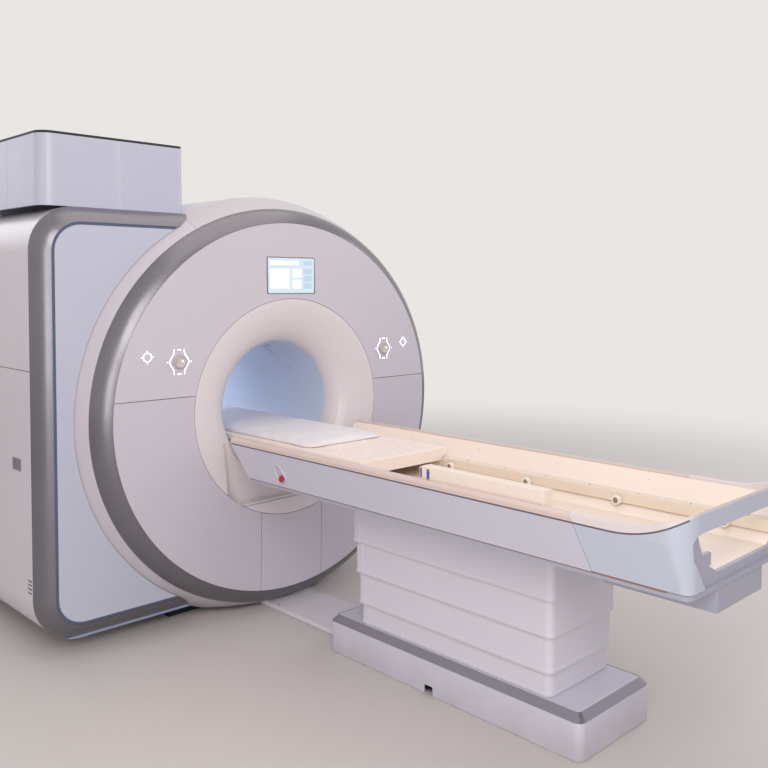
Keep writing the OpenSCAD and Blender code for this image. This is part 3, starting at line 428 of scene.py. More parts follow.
class Palette:
    """Every finish of the machine, named for what the surface is."""

    disc = PaintedPolyester("painted_polyester_disc", "#CAC5CE", 0.42, grain=0.005)
    disc_low = PaintedPolyester("painted_polyester_disc_low", "#C8C2CC", 0.42, grain=0.005)
    drum = PaintedPolyester("painted_polyester_drum", "#CBC4CB", 0.40, grain=0.005)
    crown = PaintedPolyester("painted_polyester_crown", "#C6C0C6", 0.40, grain=0.005)
    panel = PaintedPolyester("painted_polyester_panel", "#BFC2D1", 0.42, grain=0.005, dusty=True)
    wall = PaintedPolyester("painted_polyester_wall", "#D0CAD0", 0.44, grain=0.005, dusty=True)
    rear = PaintedPolyester("painted_polyester_rear", "#CBCAD4", 0.44, grain=0.005, dusty=True)
    tower = PaintedPolyester("painted_polyester_tower", "#BCBFCE", 0.42, grain=0.005)
    mouth = PaintedPolyester("painted_polyester_mouth", "#DDD6D8", 0.34, grain=0.006)
    ring = MicaLacquer("mica_lacquer_ring", "#716E76", 0.30, grain=0.008, relief=0.00002)
    bevel = MicaLacquer("mica_lacquer_bevel", "#8B8690", 0.34, grain=0.008, relief=0.00002)
    groove = MouldedPlastic("moulded_groove_blue_grey", "#56617A", 0.5, grain=0.0012)
    strip = MouldedPlastic("moulded_skirt_strip", "#A9B5D0", 0.4, grain=0.0012)
    liner = GelcoatLaminate("gelcoat_bore_liner", "#C6D1E4", 0.30, grain=0.02, relief=0.00002)
    rail = MouldedPlastic("acetal_bore_rail", "#D9D6D4", 0.35, grain=0.0012)
    turret = SheetMetal("stainless_turret", "#B9BDC3", 0.30)
    steel = SheetMetal("zinc_plated_steel", "#8C8F94", 0.38)
    dark_steel = SheetMetal("painted_foot_steel", "#3F4348", 0.5)
    coil = GelcoatLaminate("cast_epoxy_coil", "#9A7A52", 0.4)
    seal = Elastomer("black_foam_seal", "#2C2C30", 0.8, grain=0.002)
    knob = Elastomer("soft_touch_knob", "#B9AEA8", 0.5, grain=0.0008)
    knob_face = MouldedPlastic("satin_knob_face", "#CBC1BB", 0.35, grain=0.0008)
    light = LitAcrylic("lit_acrylic_marks", "#DCE9FF", 0.4, glow=1.9)
    bore_light = LitAcrylic("lit_acrylic_bore_strip", "#E4EEFF", 0.4, glow=18.0)
    dot = LitAcrylic("lit_acrylic_dot", "#FFFFFF", 0.4, glow=1.3)
    button = MouldedPlastic("moulded_call_button", "#CFC8CE", 0.35, grain=0.001)
    bezel = MouldedPlastic("moulded_bezel", "#77757E", 0.4, grain=0.001)
    recess = PaintedPolyester("painted_recess_table", "#BDBAC6", 0.46)
    guard = PaintedPolyester("painted_stop_guard", "#CDCAD3", 0.36)
    gasket_pale = Elastomer("pale_cover_gasket", "#A4A8BC", 0.6, grain=0.002)
    gasket_tan = Elastomer("tan_tray_gasket", "#8A6F5B", 0.55, grain=0.002)
    gasket = Elastomer("plum_grey_rim_gasket", "#625B6B", 0.55, grain=0.002)
    cover = PaintedPolyester("painted_cover_table", "#CAC8D4", 0.42)
    foot = PaintedPolyester("painted_cover_foot", "#C0C6D4", 0.42)
    tray = PaintedPolyester("painted_cover_tray", "#A9AAB8", 0.46)
    rim = PaintedPolyester("painted_rim_cap", "#D8C4BC", 0.38)
    hoop = PaintedPolyester("painted_hoop", "#E2D8D6", 0.30)
    cream = HighPressureLaminate("gelcoat_trough_cream", "#F2E3D6", 0.42)
    tabletop = HighPressureLaminate("laminate_tabletop_cream", "#F4E7DC", 0.4)
    tan = MouldedPlastic("glass_epoxy_rail_tan", "#EADCC9", 0.42, grain=0.002)
    bush = MouldedPlastic("phenolic_roller_bush", "#A5835B", 0.45, grain=0.001)
    roller = MouldedPlastic("acetal_roller", "#F0EBE4", 0.3, grain=0.001)
    blue = MouldedPlastic("moulded_socket_blue", "#2A5FC0", 0.35, grain=0.001)
    red = MouldedPlastic("moulded_stop_red", "#B0161A", 0.28, grain=0.001)
    pedestal = PaintedPolyester("painted_lift_sleeve", "#D6D2DB", 0.44, dusty=True)
    base = PaintedPolyester("painted_base_cover", "#D0CDD9", 0.44, dusty=True)
    duct = PaintedPolyester("painted_floor_duct", "#DAD5DA", 0.46)
    cloth = CoatedCloth("vinyl_coated_mattress", "#E6E2E4", 0.5)
    screen = DisplayGlass("display_glass_glow", "#DDEBF7", 0.12, glow=0.95)
    field_pale = DisplayGlass("display_field_pale", "#F4F9FF", 0.12, glow=1.05)
    field_blue = DisplayGlass("display_field_blue", "#C6DDF0", 0.12, glow=0.92)


@cache
def material(finish: Finish) -> bpy.types.Material:
    """Makes the material of each finish once."""
    return finish.build()


def paint(obj: bpy.types.Object, *finishes: Finish) -> None:
    """Puts finishes into an object's material slots, in order.

    Args:
        obj: Mesh object.
        *finishes: One finish for each slot.
    """
    slots = obj.data.materials
    for number, finish in enumerate(finishes):
        if number < len(slots):
            slots[number] = material(finish)
        else:
            slots.append(material(finish))


# --- Surfaces -----------------------------------------------------------------


@dataclass
class Sheet:
    """A grid of points, rows by columns, that may close on itself either way."""

    points: np.ndarray
    wrap_rows: bool = False
    wrap_columns: bool = True
    cap_rows: bool = False  # a flat face over the first and the last row
    material: int = 0

    def faces(self, start: int) -> list:
        """Four-sided faces between neighbouring points, and the end caps.

        Args:
            start: Number of the grid's first vertex in the whole mesh.

        Returns:
            Faces as lists of vertex numbers.
        """
        rows, columns = self.points.shape[:2]
        number = start + np.arange(rows * columns).reshape(rows, columns)
        if self.wrap_rows:
            number = np.vstack([number, number[:1]])
        if self.wrap_columns:
            number = np.hstack([number, number[:, :1]])
        corners = [number[:-1, :-1], number[:-1, 1:], number[1:, 1:], number[1:, :-1]]
        found = np.stack(corners, axis=-1).reshape(-1, 4).tolist()
        if self.cap_rows:
            loop = number[:, :-1] if self.wrap_columns else number
            found += [loop[0][::-1].tolist(), loop[-1].tolist()]
        return found


def piece(name: str, sheets: list[Sheet], merge: float = 1e-6) -> bpy.types.Object:
    """Joins grids into one mesh with closed seams and faces that point outwards.

    Args:
        name: Name of the new object.
        sheets: Grids of points in metres.
        merge: Distance under which two points become one.

    Returns:
        The new object at the origin.
    """
    starts = np.cumsum([0] + [s.points.shape[0] * s.points.shape[1] for s in sheets])
    vertices = np.concatenate([s.points.reshape(-1, 3) for s in sheets])
    groups = [s.faces(int(start)) for s, start in zip(sheets, starts)]
    mesh = bpy.data.meshes.new(name)
    mesh.from_pydata(vertices.tolist(), [], [f for group in groups for f in group])
    kinds = np.repeat([s.material for s in sheets], [len(g) for g in groups])
    mesh.polygons.foreach_set("material_index", kinds.astype(np.int32))
    shell = bmesh.new()
    shell.from_mesh(mesh)
    bmesh.ops.remove_doubles(shell, verts=shell.verts, dist=merge)
    bmesh.ops.dissolve_degenerate(shell, edges=shell.edges, dist=merge)
    bmesh.ops.recalc_face_normals(shell, faces=shell.faces)
    shell.to_mesh(mesh)
    shell.free()
    obj = bpy.data.objects.new(name, mesh)
    bpy.context.scene.collection.objects.link(obj)
    smooth(obj)
    return obj


def smooth(obj: bpy.types.Object, angle: float = 38.0) -> None:
    """Shades an object smooth and keeps edges sharper than the angle, in degrees."""
    obj.data.polygons.foreach_set("use_smooth", np.ones(len(obj.data.polygons), bool))
    obj.data.set_sharp_from_angle(angle=math.radians(angle))


def turned(
    profile: Rows, centre: tuple, axis: tuple = (0, -1, 0), steps: int = 48, slot: int = 0
) -> Sheet:
    """A profile turned about an axis: point = centre + axis * along + radius * spoke.

    Args:
        profile: Rows of radius and distance along the axis, from pole to pole.
        centre: Where the axis starts.
        axis: Direction of the axis.
        steps: Facets around.
        slot: Material slot of the faces.

    Returns:
        The turned grid.
    """
    along = np.array(axis, float) / np.linalg.norm(axis)
    side = np.cross(along, UP if abs(along[2]) < 0.9 else X)
    side = side / np.linalg.norm(side)
    up = np.cross(along, side)
    angle = np.linspace(0.0, 2 * math.pi, steps, endpoint=False)
    spoke = np.cos(angle)[:, None] * side + np.sin(angle)[:, None] * up
    radius, far = np.array(profile)[:, :, None, None].swapaxes(0, 1)
    return Sheet(np.array(centre) + far * along + radius * spoke[None], material=slot)


def swept(
    path: np.ndarray, section: Rows, side: np.ndarray, lift: np.ndarray, closed: bool = False
) -> Sheet:
    """A closed section carried along a path: point = path + side * u + lift * v.

    Args:
        path: Points along the way.
        section: Closed outline, rows of u and v.
        side: Direction of u, one for all or one for each point of the path.
        lift: Direction of v, likewise.
        closed: Whether the path ends where it starts. Else both ends get a cap.

    Returns:
        The swept grid.
    """
    u, v = np.array(section).T[:, None, :, None]
    side, lift = (np.broadcast_to(way, path.shape)[:, None, :] for way in (side, lift))
    points = path[:, None, :] + u * side + v * lift
    return Sheet(points, wrap_rows=closed, cap_rows=not closed)


def unit(ways: np.ndarray) -> np.ndarray:
    """Gives each row of vectors the length one."""
    return ways / np.linalg.norm(ways, axis=1)[:, None]


def round_outline(half_a: float, half_b: float, radius: float, steps: int = 6) -> np.ndarray:
    """A rectangle with round corners: four quarter circles joined by straight runs.

    Args:
        half_a: Half the size along the first direction.
        half_b: Half the size along the second direction.
        radius: Corner radius.
        steps: Facets in one corner.

    Returns:
        The closed outline, rows of two numbers.
    """
    angle = np.linspace(0.0, math.pi / 2, steps + 1)
    turn = np.concatenate([angle + quarter * math.pi / 2 for quarter in range(4)])
    corner = np.repeat([[1, 1], [-1, 1], [-1, -1], [1, -1]], steps + 1, axis=0)
    middle = corner * np.array([half_a - radius, half_b - radius])
    return middle + radius * np.stack([np.cos(turn), np.sin(turn)], axis=1)


def domed_plate(
    outline: np.ndarray, origin: tuple, u: np.ndarray, height: float, edge: float, slot: int = 0
) -> Sheet:
    """A small upright plate whose edge rounds over: outlines shrink along a quarter circle.

    Args:
        outline: Closed outline around the origin.
        origin: Middle of the plate's back.
        u: Direction of the outline's first number. The second one points up.
        height: Thickness of the plate.
        edge: Radius of the rounded edge.
        slot: Material slot of the faces.

    Returns:
        One grid from the back to the front.
    """
    angle = np.linspace(0.0, math.pi / 2, 5)
    level = np.concatenate([[0.0], height - edge + edge * np.sin(angle)])
    inset = np.concatenate([[0.0], edge * (1 - np.cos(angle))])
    shrink = 1 - inset[:, None] / np.abs(outline).max(axis=0)[None, :]
    flat = outline[None] * shrink[:, None, :]
    out = level[:, None, None] * np.cross(u, UP)
    points = np.array(origin) + flat[..., :1] * u + flat[..., 1:] * UP + out
    return Sheet(points, cap_rows=True, material=slot)


# Shares of a head's radius: radius and distance along the axis.
SCREW = [
    (0.0, -0.5), (0.9, -0.5), (1.0, 0.1), (0.8, 0.32), (0.45, 0.4), (0.4, 0.1), (0.0, 0.1),
]


def screw_heads(places: list[tuple], radius: float, out: tuple = (0, 0, 1)) -> list[Sheet]:
    """Small domed screw heads with a recess in the middle of each.

    Args:
        places: One point on the surface for each head.
        radius: Radius of a head.
        out: Direction that the heads face.

    Returns:
        One grid for each head.
    """
    return [turned(np.array(SCREW) * radius, place, out, 20) for place in places]


def bake(obj: bpy.types.Object, kind: str, **values: object) -> None:
    """Adds a modifier to the active object and applies it.

    Args:
        obj: The active object.
        kind: The modifier's type.
        **values: The modifier's own properties.
    """
    modifier = obj.modifiers.new(kind.lower(), kind)
    for key, value in values.items():
        setattr(modifier, key, value)
    bpy.ops.object.modifier_apply(modifier=modifier.name)


def points_of(obj: bpy.types.Object) -> np.ndarray:
    """Reads the vertices of a mesh object.

    Args:
        obj: Mesh object.

    Returns:
        Rows of three numbers.
    """
    flat = np.empty(len(obj.data.vertices) * 3)
    obj.data.vertices.foreach_get("co", flat)
    return flat.reshape(-1, 3)


PAD_MESH = 0.0105  # metres between the points of the remeshed pad
PAD_LYING = 0.004  # points less than this above the table stay where they are
PAD_PRESSURE = 1.5
PAD_TENSION = 40.0
PAD_GROWTH = 0.03  # share by which the cover may stretch


def puff(obj: bpy.types.Object, floor_z: float, top_z: float, frames: int = 20) -> None:
    """Blows a cover up over its foam with a short cloth simulation, then keeps the result.

    The mesh is remeshed evenly, put under pressure without gravity and applied.
    Its height is then pressed back between the table and the top of the solid pad.

    Args:
        obj: Closed mesh of the pad.
        floor_z: Surface on which the pad lies.
        top_z: Height that the pad may not pass.
        frames: Length of the simulation.
    """
    bpy.context.view_layer.objects.active = obj
    obj.select_set(True)
    bake(obj, "REMESH", mode="VOXEL", voxel_size=PAD_MESH)
    rest = points_of(obj)
    group = obj.vertex_groups.new(name="lies_flat")
    lying = np.flatnonzero(rest[:, 2] < floor_z + PAD_LYING)
    group.add(lying.tolist(), 1.0, "REPLACE")
    cloth = obj.modifiers.new("cover", "CLOTH")
    cloth.settings.quality = 4
    cloth.settings.effector_weights.gravity = 0.0
    cloth.settings.use_pressure = True
    cloth.settings.uniform_pressure_force = PAD_PRESSURE
    cloth.settings.tension_stiffness = PAD_TENSION
    cloth.settings.shrink_min = -PAD_GROWTH
    cloth.settings.vertex_group_mass = group.name
    cloth.collision_settings.use_collision = False
    cloth.point_cache.frame_end = frames
    for number in range(1, frames + 1):
        bpy.context.scene.frame_set(number)
    bpy.ops.object.modifier_apply(modifier=cloth.name)
    bpy.context.scene.frame_set(1)
    blown = points_of(obj)
    low, high = blown[:, 2].min(), blown[:, 2].max()
    blown[:, :2] = np.clip(blown[:, :2], rest[:, :2].min(axis=0), rest[:, :2].max(axis=0))
    blown[:, 2] = floor_z + (blown[:, 2] - low) / (high - low) * (top_z - floor_z)
    obj.data.vertices.foreach_set("co", blown.reshape(-1))
    obj.data.update()
    bake(obj, "SMOOTH", factor=0.5, iterations=4)
    bake(obj, "SUBSURF", levels=1, render_levels=1)
    obj.select_set(False)
    smooth(obj, 80.0)


def settle(
    obj: bpy.types.Object, finishes: tuple[Finish, ...], body: str, slot: str, *nodes: str
) -> None:
    """Paints a piece, lets it ride on its body and names its slot and its nodes.

    Args:
        obj: The finished piece.
        finishes: One finish for each material slot.
        body: Body that carries it.
        slot: The record's material slot.
        *nodes: CAD nodes that it replaces.
    """
    paint(obj, *finishes)
    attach(obj, str(body))
    if nodes:
        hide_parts(*nodes)
    LOG.info("piece %s on %s, %d faces", obj.name, body, len(obj.data.polygons))


def dress(finish: Finish, *nodes: str) -> None:
    """Gives CAD nodes a finish and leaves their shape alone.

    Args:
        finish: What the surface is made of.
        *nodes: Names of the nodes.
    """
    for name in nodes:
        paint(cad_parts[name], finish)
        LOG.info("node %s dressed in %s", name, finish.name)


def ease(width: float, *nodes: str, segments: int = 3) -> None:
    """Rounds the moulded edges of CAD nodes with live modifiers.

    The loose triangles are welded, the flat ones joined, and each edge that turns
    by more than 32 degrees gets a small round.

    Args:
        width: Width of the round in metres.
        *nodes: Names of the nodes.
        segments: Facets across the round.
    """
    for name in nodes:
        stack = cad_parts[name].modifiers
        stack.new("weld", "WELD").merge_threshold = 0.00002
        flat = stack.new("flat_faces", "DECIMATE")
        flat.decimate_type = "DISSOLVE"
        flat.angle_limit = math.radians(0.4)
        bevel = stack.new("edge_round", "BEVEL")
        bevel.width = width
        bevel.segments = segments
        bevel.limit_method = "ANGLE"
        bevel.angle_limit = math.radians(32.0)
        bevel.harden_normals = True


# --- Sub-assemblies -----------------------------------------------------------


def dome_y(radius: np.ndarray | float) -> np.ndarray | float:
    """Front face of the disc: a shallow paraboloid that swells 10 mm to the mouth.

    Args:
        radius: Distance from the bore axis.

    Returns:
        Y of the painted face.
    """
    share = (1 - (radius / DISC_R) ** 2) / (1 - (MOUTH_R / DISC_R) ** 2)
    return Y_FRONT - DOME_H * share


@dataclass
class Magnet:
    """The steel magnet and its feet inside the covers."""

    def build(self) -> None:
        """Dresses the parts behind the covers."""
        dress(Palette.dark_steel, "magnet_feet")
        dress(Palette.turret, "magnet_vessel")
        dress(Palette.coil, "gradient_coil")


@dataclass
class Housing:
    """The painted covers around the magnet, with ring, band, groove and latch."""

    def build(self) -> None:
        """Dresses every cover of the housing."""
        dress(Palette.disc, "front_cover_upper")
        dress(Palette.disc_low, "front_cover_left", "front_cover_right", "front_cover_lower")
        dress(Palette.ring, "ring_trim", "panel_band")
        dress(Palette.drum, "drum_rim")
        dress(Palette.crown, "crown_cover")
        dress(Palette.rear, "rear_casing", "rear_cover")
        dress(Palette.wall, "left_casing_upper", "left_casing_lower")
        dress(Palette.panel, "body_panel")
        dress(Palette.groove, "panel_groove")
        dress(Palette.strip, "skirt_strip")
        dress(Palette.mouth, "rear_funnel")
        dress(Palette.bezel, "side_latch")


@dataclass
class BoreMouth:
    """The bell mouth, its insert, the liner with its lights, and the rails inside."""

    strip_y: float = 0.15  # where the lit strips start
    strip_end: float = 0.10  # how far before the liner's end they stop
    strip_step: float = 0.004  # length of the short first and last row of faces
    strip_angle: float = 38.0  # degrees from the top of the bore
    strip_half: float = 2.6  # degrees from a strip's middle to its edge
    strip_proud: float = 0.003
    strip_sunk: float = 0.001

    def build(self) -> None:
        """Dresses the mouth and the tube behind it."""
        dress(Palette.mouth, "front_funnel", "funnel_insert")
        dress(Palette.liner, "bore_liner")
        dress(Palette.rail, "bore_rails")
        self.lights()

    def lights(self) -> None:
        """Two lit strips in the rear half of the upper bore, set 3 mm proud of the liner.

        Each is an arc section, radius times cosine and sine of the angle from
        the top, carried along the tube.
        """
        start, step = self.strip_y, self.strip_step
        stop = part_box("bore_liner")[1].y - self.strip_end
        along = np.array([start, start + step, stop - step, stop])
        path = np.column_stack([0 * along, along, 0 * along + AXIS_H])
        sheets = []
        for middle in (-self.strip_angle, self.strip_angle):
            angle = np.radians(middle + np.linspace(-self.strip_half, self.strip_half, 7))
            arc = np.stack([np.sin(angle), np.cos(angle)], axis=1)
            outer, inner = arc * (BORE_R + self.strip_sunk), arc[::-1] * (BORE_R - self.strip_proud)
            sheets.append(swept(path, np.concatenate([outer, inner]), X, UP))
        settle(piece("bore_light_strips", sheets), (Palette.bore_light,), Body.SCANNER, "display")


# Profiles of the turning knob and its dot: radius and distance along the axis.
GRIP = [
    (0.0, -0.022), (0.009, -0.022), (0.009, -0.0002), (0.030, 0.0), (0.0325, 0.0012),
    (0.033, 0.004), (0.0328, 0.0118), (0.0316, 0.0148), (0.0292, 0.0165), (0.0268, 0.0170),
    (0.0252, 0.0166), (0.0238, 0.0156), (0.016, 0.0136), (0.008, 0.0129), (0.0, 0.0127),
]
FACE_START = 11  # row of the grip where its dished face begins
DOT = [(0.0, 0.012), (0.0042, 0.012), (0.0040, 0.0150), (0.0022, 0.0161), (0.0, 0.0164)]
# Section of the display's bezel: towards the glass and out of the cover.
BEZEL = [
    (-0.0035, 0.0), (0.0052, 0.0), (0.0052, 0.0018), (0.0040, 0.0026), (-0.0020, 0.0026),
    (-0.0035, 0.0016),
]
# Fields on the glass as shares of its size: left, low, width and height.
PALE_FIELDS = [
    (0.04, 0.80, 0.62, 0.13), (0.04, 0.12, 0.42, 0.58), (0.52, 0.12, 0.20, 0.26),
    (0.52, 0.44, 0.20, 0.26),
]
BLUE_FIELDS = [
    (0.76, 0.12, 0.19, 0.16), (0.76, 0.33, 0.19, 0.16), (0.76, 0.54, 0.19, 0.16),
    (0.76, 0.80, 0.19, 0.13),
]


@dataclass
class FrontControls:
    """Display, knobs and call buttons with their lit marks on the disc."""

    knob_x: float = 0.666
    knob_z: float = 1.382
    knob_reach: float = 0.68  # radius of the disc at which the knob's foot lies
    button_x: float = 0.829
    button_z: float = 1.413
    ring_r: float = 0.0205  # lit ring around the call button
    bulge_near: float = 0.027  # from the knob's middle to the ends of its lines
    bulge: float = 0.023
    bulge_long: float = 0.062  # half the length of a line
    dash_rise: float = 0.060
    dash_long: float = 0.010  # half the length of a dash
    tick: tuple[float, float] = (0.057, 0.067)
    dot: tuple[float, float] = (0.0265, 0.0315)
    mark_t: float = 0.0012
    mark_w: float = 0.0042
    dash_w: float = 0.0040
    tick_w: float = 0.0026
    screen_low: tuple[float, float] = (-0.151, 1.7185)
    screen_high: tuple[float, float] = (0.151, 1.9075)

    def build(self) -> None:
        """Makes both sides' controls and the display."""
        for side in Side:
            self.knob(side)
            self.knob_marks(side)
            self.button_marks(side)
            dress(Palette.button, f"call_button_{side.word}")
        self.display()
        self.fields("display_fields", PALE_FIELDS, Palette.field_pale)
        self.fields("display_keys", BLUE_FIELDS, Palette.field_blue)

    def knob(self, side: Side) -> None:
        """A turning knob with a dished face and a lit dot.

        Args:
            side: Which knob.
        """
        x, y = side.value * self.knob_x, float(dome_y(self.knob_reach)) - 0.0003
        at = (x, y, self.knob_z)
        shell = turned(GRIP[: FACE_START + 1], at)
        face = turned(GRIP[FACE_START:], at, slot=1)
        dot = turned(DOT, (x + 0.010, y, self.knob_z + 0.004), steps=24, slot=2)
        made = piece(f"knob_{side.word}_turned", [shell, face, dot])
        finishes = Palette.knob, Palette.knob_face, Palette.dot
        node = f"control_knob_{side.word}"
        settle(made, finishes, node, "knob", node)

    def ribbon(self, x: np.ndarray | float, z: np.ndarray | float, width: float) -> Sheet:
        """A flat lit line on the domed cover: a thin bar section along x(t), z(t).

        Args:
            x: Distance from the machine's middle at each point.
            z: Height at each point.
            width: Width of the line.

        Returns:
            The line's grid.
        """
        x, z = np.broadcast_arrays(x, z)
        path = np.stack([x, dome_y(np.hypot(x, z - AXIS_H)), z], axis=1)
        across = np.cross(unit(np.gradient(path, axis=0)), -Y)
        half, rise = width / 2, self.mark_t
        section = [
            (-half, -0.001), (half, -0.001), (half, rise * 0.6), (half * 0.7, rise),
            (-half * 0.7, rise), (-half, rise * 0.6),
        ]
        return swept(path, section, across, -Y)

    def knob_marks(self, side: Side) -> None:
        """Two lit lines that bulge around the knob, two dashes and two ticks.

        The line's distance from the knob's middle is 27 mm at its ends and grows
        by 23 mm times the squared cosine of its height towards the middle.

        Args:
            side: Which knob.
        """
        middle = side.value * self.knob_x
        rise = np.linspace(-self.bulge_long, self.bulge_long, 41)
        share = np.cos(np.clip(rise / 0.050, -1, 1) * math.pi / 2) ** 2
        bulge = self.bulge_near + self.bulge * share
        dash, tick = np.linspace(-self.dash_long, self.dash_long, 5), np.linspace(*self.tick, 4)
        lines = []
        for way in (-1, 1):
            lines += [
                self.ribbon(middle + way * bulge, self.knob_z + rise, self.mark_w),
                self.ribbon(middle + dash, self.knob_z + way * self.dash_rise, self.dash_w),
                self.ribbon(middle + way * tick, self.knob_z, self.tick_w),
            ]
        made = piece(f"knob_marks_{side.word}", lines)
        settle(made, (Palette.light,), Body.SCANNER, "display")

    def button_marks(self, side: Side) -> None:
        """A lit ring around the call button with a dot on each of its four sides.

        Args:
            side: Which button.
        """
        middle = side.value * self.button_x
        angle, far = np.linspace(0.0, 2 * math.pi, 49), np.linspace(*self.dot, 4)
        ring = middle + self.ring_r * np.cos(angle), self.button_z + self.ring_r * np.sin(angle)
        marks = [self.ribbon(*ring, self.mark_w)]
        for turn in np.arange(4) * math.pi / 2:
            dot = middle + far * math.cos(turn), self.button_z + far * math.sin(turn)
            marks.append(self.ribbon(*dot, self.dash_w))
        made = piece(f"button_marks_{side.word}", marks)
        settle(made, (Palette.light,), Body.SCANNER, "display")

    def display(self) -> None:
        """The glowing glass with a thin bezel around it."""
        dress(Palette.screen, "display_screen")
        low, high = np.array(self.screen_low), np.array(self.screen_high)
        outline = round_outline(*((high - low) / 2 + 0.004), 0.008)
        x, z = ((low + high) / 2 + outline).T
        path = np.column_stack([x, dome_y(np.hypot(x, z - AXIS_H)) + 0.0005, z])
        inward = unit(np.column_stack([-outline[:, 0], 0 * x, -outline[:, 1]]))
        made = piece("display_bezel", [swept(path, BEZEL, inward, -Y, closed=True)])
        settle(made, (Palette.bezel,), Body.SCANNER, "display")

    def fields(self, name: str, boxes: list[tuple], finish: Finish) -> None:
        """Plain bright fields and rows on the glass, like a menu without words.

        Args:
            name: Name of the new piece.
            boxes: Left, low, width and height of each, as shares of the glass.
            finish: Glow of the fields.
        """
        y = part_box("display_screen")[0].y + 0.0002
        (x0, z0), (x1, z1) = self.screen_low, self.screen_high
        plates = []
        for left, low, wide, tall in np.array(boxes) * (x1 - x0, z1 - z0, x1 - x0, z1 - z0):
            outline = round_outline(wide / 2, tall / 2, 0.004, 4)
            at = (x0 + left + wide / 2, y, z0 + low + tall / 2)
            plates.append(domed_plate(outline, at, X, 0.0007, 0.0003))
        settle(piece(name, plates), (finish,), Body.SCANNER, "display")


@dataclass
class ServiceTower:
    """The tower on the left shoulder with the turret and the vent inside."""

    def build(self) -> None:
        """Dresses the tower."""
        dress(Palette.tower, "tower_front_cover", "tower_rear_cover")
        dress(Palette.seal, "tower_seal")
        dress(Palette.turret, "service_turret", "vent_pipe")
        ease(0.005, "tower_front_cover", "tower_rear_cover")


@dataclass
class Pedestal:
    """Floor base, lift column and the four telescoping sleeves."""

    wall: float = 0.006
    lip: float = 0.0028  # how far a sleeve's rolled lower edge stands out
    seam: float = 0.0016  # depth and half width of a seam
    seam_set: float = 0.062  # corner pieces of a sleeve end this far from its ends
    corner_r: float = 0.030

    def build(self) -> None:
        """Dresses the base and makes the sleeves."""
        dress(Palette.steel, "table_base_plate", "lift_column")
        dress(Palette.base, "table_base_cover")
        dress(Palette.bevel, "table_base_bevel")
        dress(Palette.duct, "floor_duct")
        ease(0.005, "table_base_cover", "floor_duct")
        for number in range(1, 5):
            self.sleeve(number)
        self.duct_screws()

    def outline(self, half_x: float, half_y: float, radius: float) -> np.ndarray:
        """Plan of a sleeve: a rounded rectangle with two fine seams in each long side.

        Args:
            half_x: Half the width.
            half_y: Half the length.
            radius: Corner radius.

        Returns:
            The closed outline, rows of two numbers.
        """
        corner = np.split(round_outline(half_x, half_y, radius), 4)
        at = half_y - self.seam_set
        notch = np.array([[0.0, -self.seam], [-self.seam, 0.0], [0.0, self.seam]])
        right = np.concatenate([notch + (half_x, -at), notch + (half_x, at)])
        left = right * (-1, -1)
        return np.concatenate([corner[0], corner[1], left, corner[2], corner[3], right])

    def sleeve(self, number: int) -> None:
        """One thin sleeve with a rolled lip along its lower edge.

        The wall's section is a closed loop of height and offset, carried around
        the plan: each offset widens the plan and its corners alike.

        Args:
            number: Place of the sleeve, counted from the top.
        """
        low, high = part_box(f"lift_cover_{number}")
        middle, half = (low + high) / 2, (high - low) / 2
        tall = high.z - low.z
        loop = [
            (0.0, 0.0), (0.0012, self.lip * 0.8), (0.003, self.lip), (0.011, self.lip),
            (0.015, self.lip * 0.4), (0.019, 0.0), (tall - 0.0015, 0.0), (tall, -0.0015),
            (tall, -self.wall), (0.0, -self.wall),
        ]
        rings = []
        for height, offset in loop:
            plan = self.outline(half.x + offset, half.y + offset, self.corner_r + offset)
            level = np.full(len(plan), low.z + height)
            rings.append(np.column_stack([plan + (middle.x, middle.y), level]))
        made = piece(f"sleeve_{number}_rolled", [Sheet(np.array(rings), wrap_rows=True)])
        settle(made, (Palette.pedestal,), Body.SCANNER, "pedestal", f"lift_cover_{number}")

    def duct_screws(self) -> None:
        """Four countersunk screws that hold the floor duct's lid."""
        low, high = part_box("floor_duct")
        across, along = (low.x + 0.03, high.x - 0.03), (low.y + 0.12, high.y - 0.26)
        places = [(x, y, high.z) for x in across for y in along]
        made = piece("duct_screws", screw_heads(places, 0.0055))
        settle(made, (Palette.steel,), Body.SCANNER, "pedestal")


# Profiles: radius and distance along the axis.
TYRE = [
    (0.0125, 0.004), (0.018, 0.0030), (0.0195, 0.0036), (0.020, 0.005), (0.020, 0.0225),
    (0.0195, 0.0242), (0.018, 0.0250), (0.0135, 0.0250), (0.0125, 0.0242), (0.0125, 0.004),
]
BUSH = [
    (0.0, 0.004), (0.0126, 0.004), (0.0126, 0.0240), (0.0118, 0.0248), (0.0075, 0.0248),
    (0.0070, 0.0240), (0.0, 0.0240),
]
AXLE = [(0.0, -0.026), (0.006, -0.026), (0.006, 0.0240), (0.005, 0.0252), (0.0, 0.0252)]
STOP_HEAD = [
    (0.0, 0.0290), (0.0135, 0.0290), (0.0155, 0.0296), (0.0160, 0.0312), (0.0155, 0.0345),
    (0.0138, 0.0370), (0.0100, 0.0384), (0.0050, 0.0389), (0.0, 0.0390),
]
STOP_STEM = [(0.0, 0.0002), (0.0098, 0.0002), (0.0098, 0.0295), (0.0, 0.0295)]
# Sections of what lies on the table's covers.
GUARD = [  # across the ring and out of the wall
    (-0.0036, -0.001), (0.0036, -0.001), (0.0034, 0.0018), (0.0016, 0.0040),
    (-0.0016, 0.0040), (-0.0034, 0.0018),
]
COVER_SEAM = [(-0.0024, -0.004), (0.0024, -0.004), (0.0024, 0.0), (-0.0024, 0.0)]
RIM_LINE = [  # out of the cover and up
    (-0.003, -0.0035), (0.0006, -0.0032), (0.0011, -0.0015), (0.0011, 0.0010),
    (0.0006, 0.0026), (-0.003, 0.0030),
]
TRAY_LINE = [(-0.003, -0.0042), (0.0018, -0.0042), (0.0018, 0.0022), (-0.003, 0.0022)]
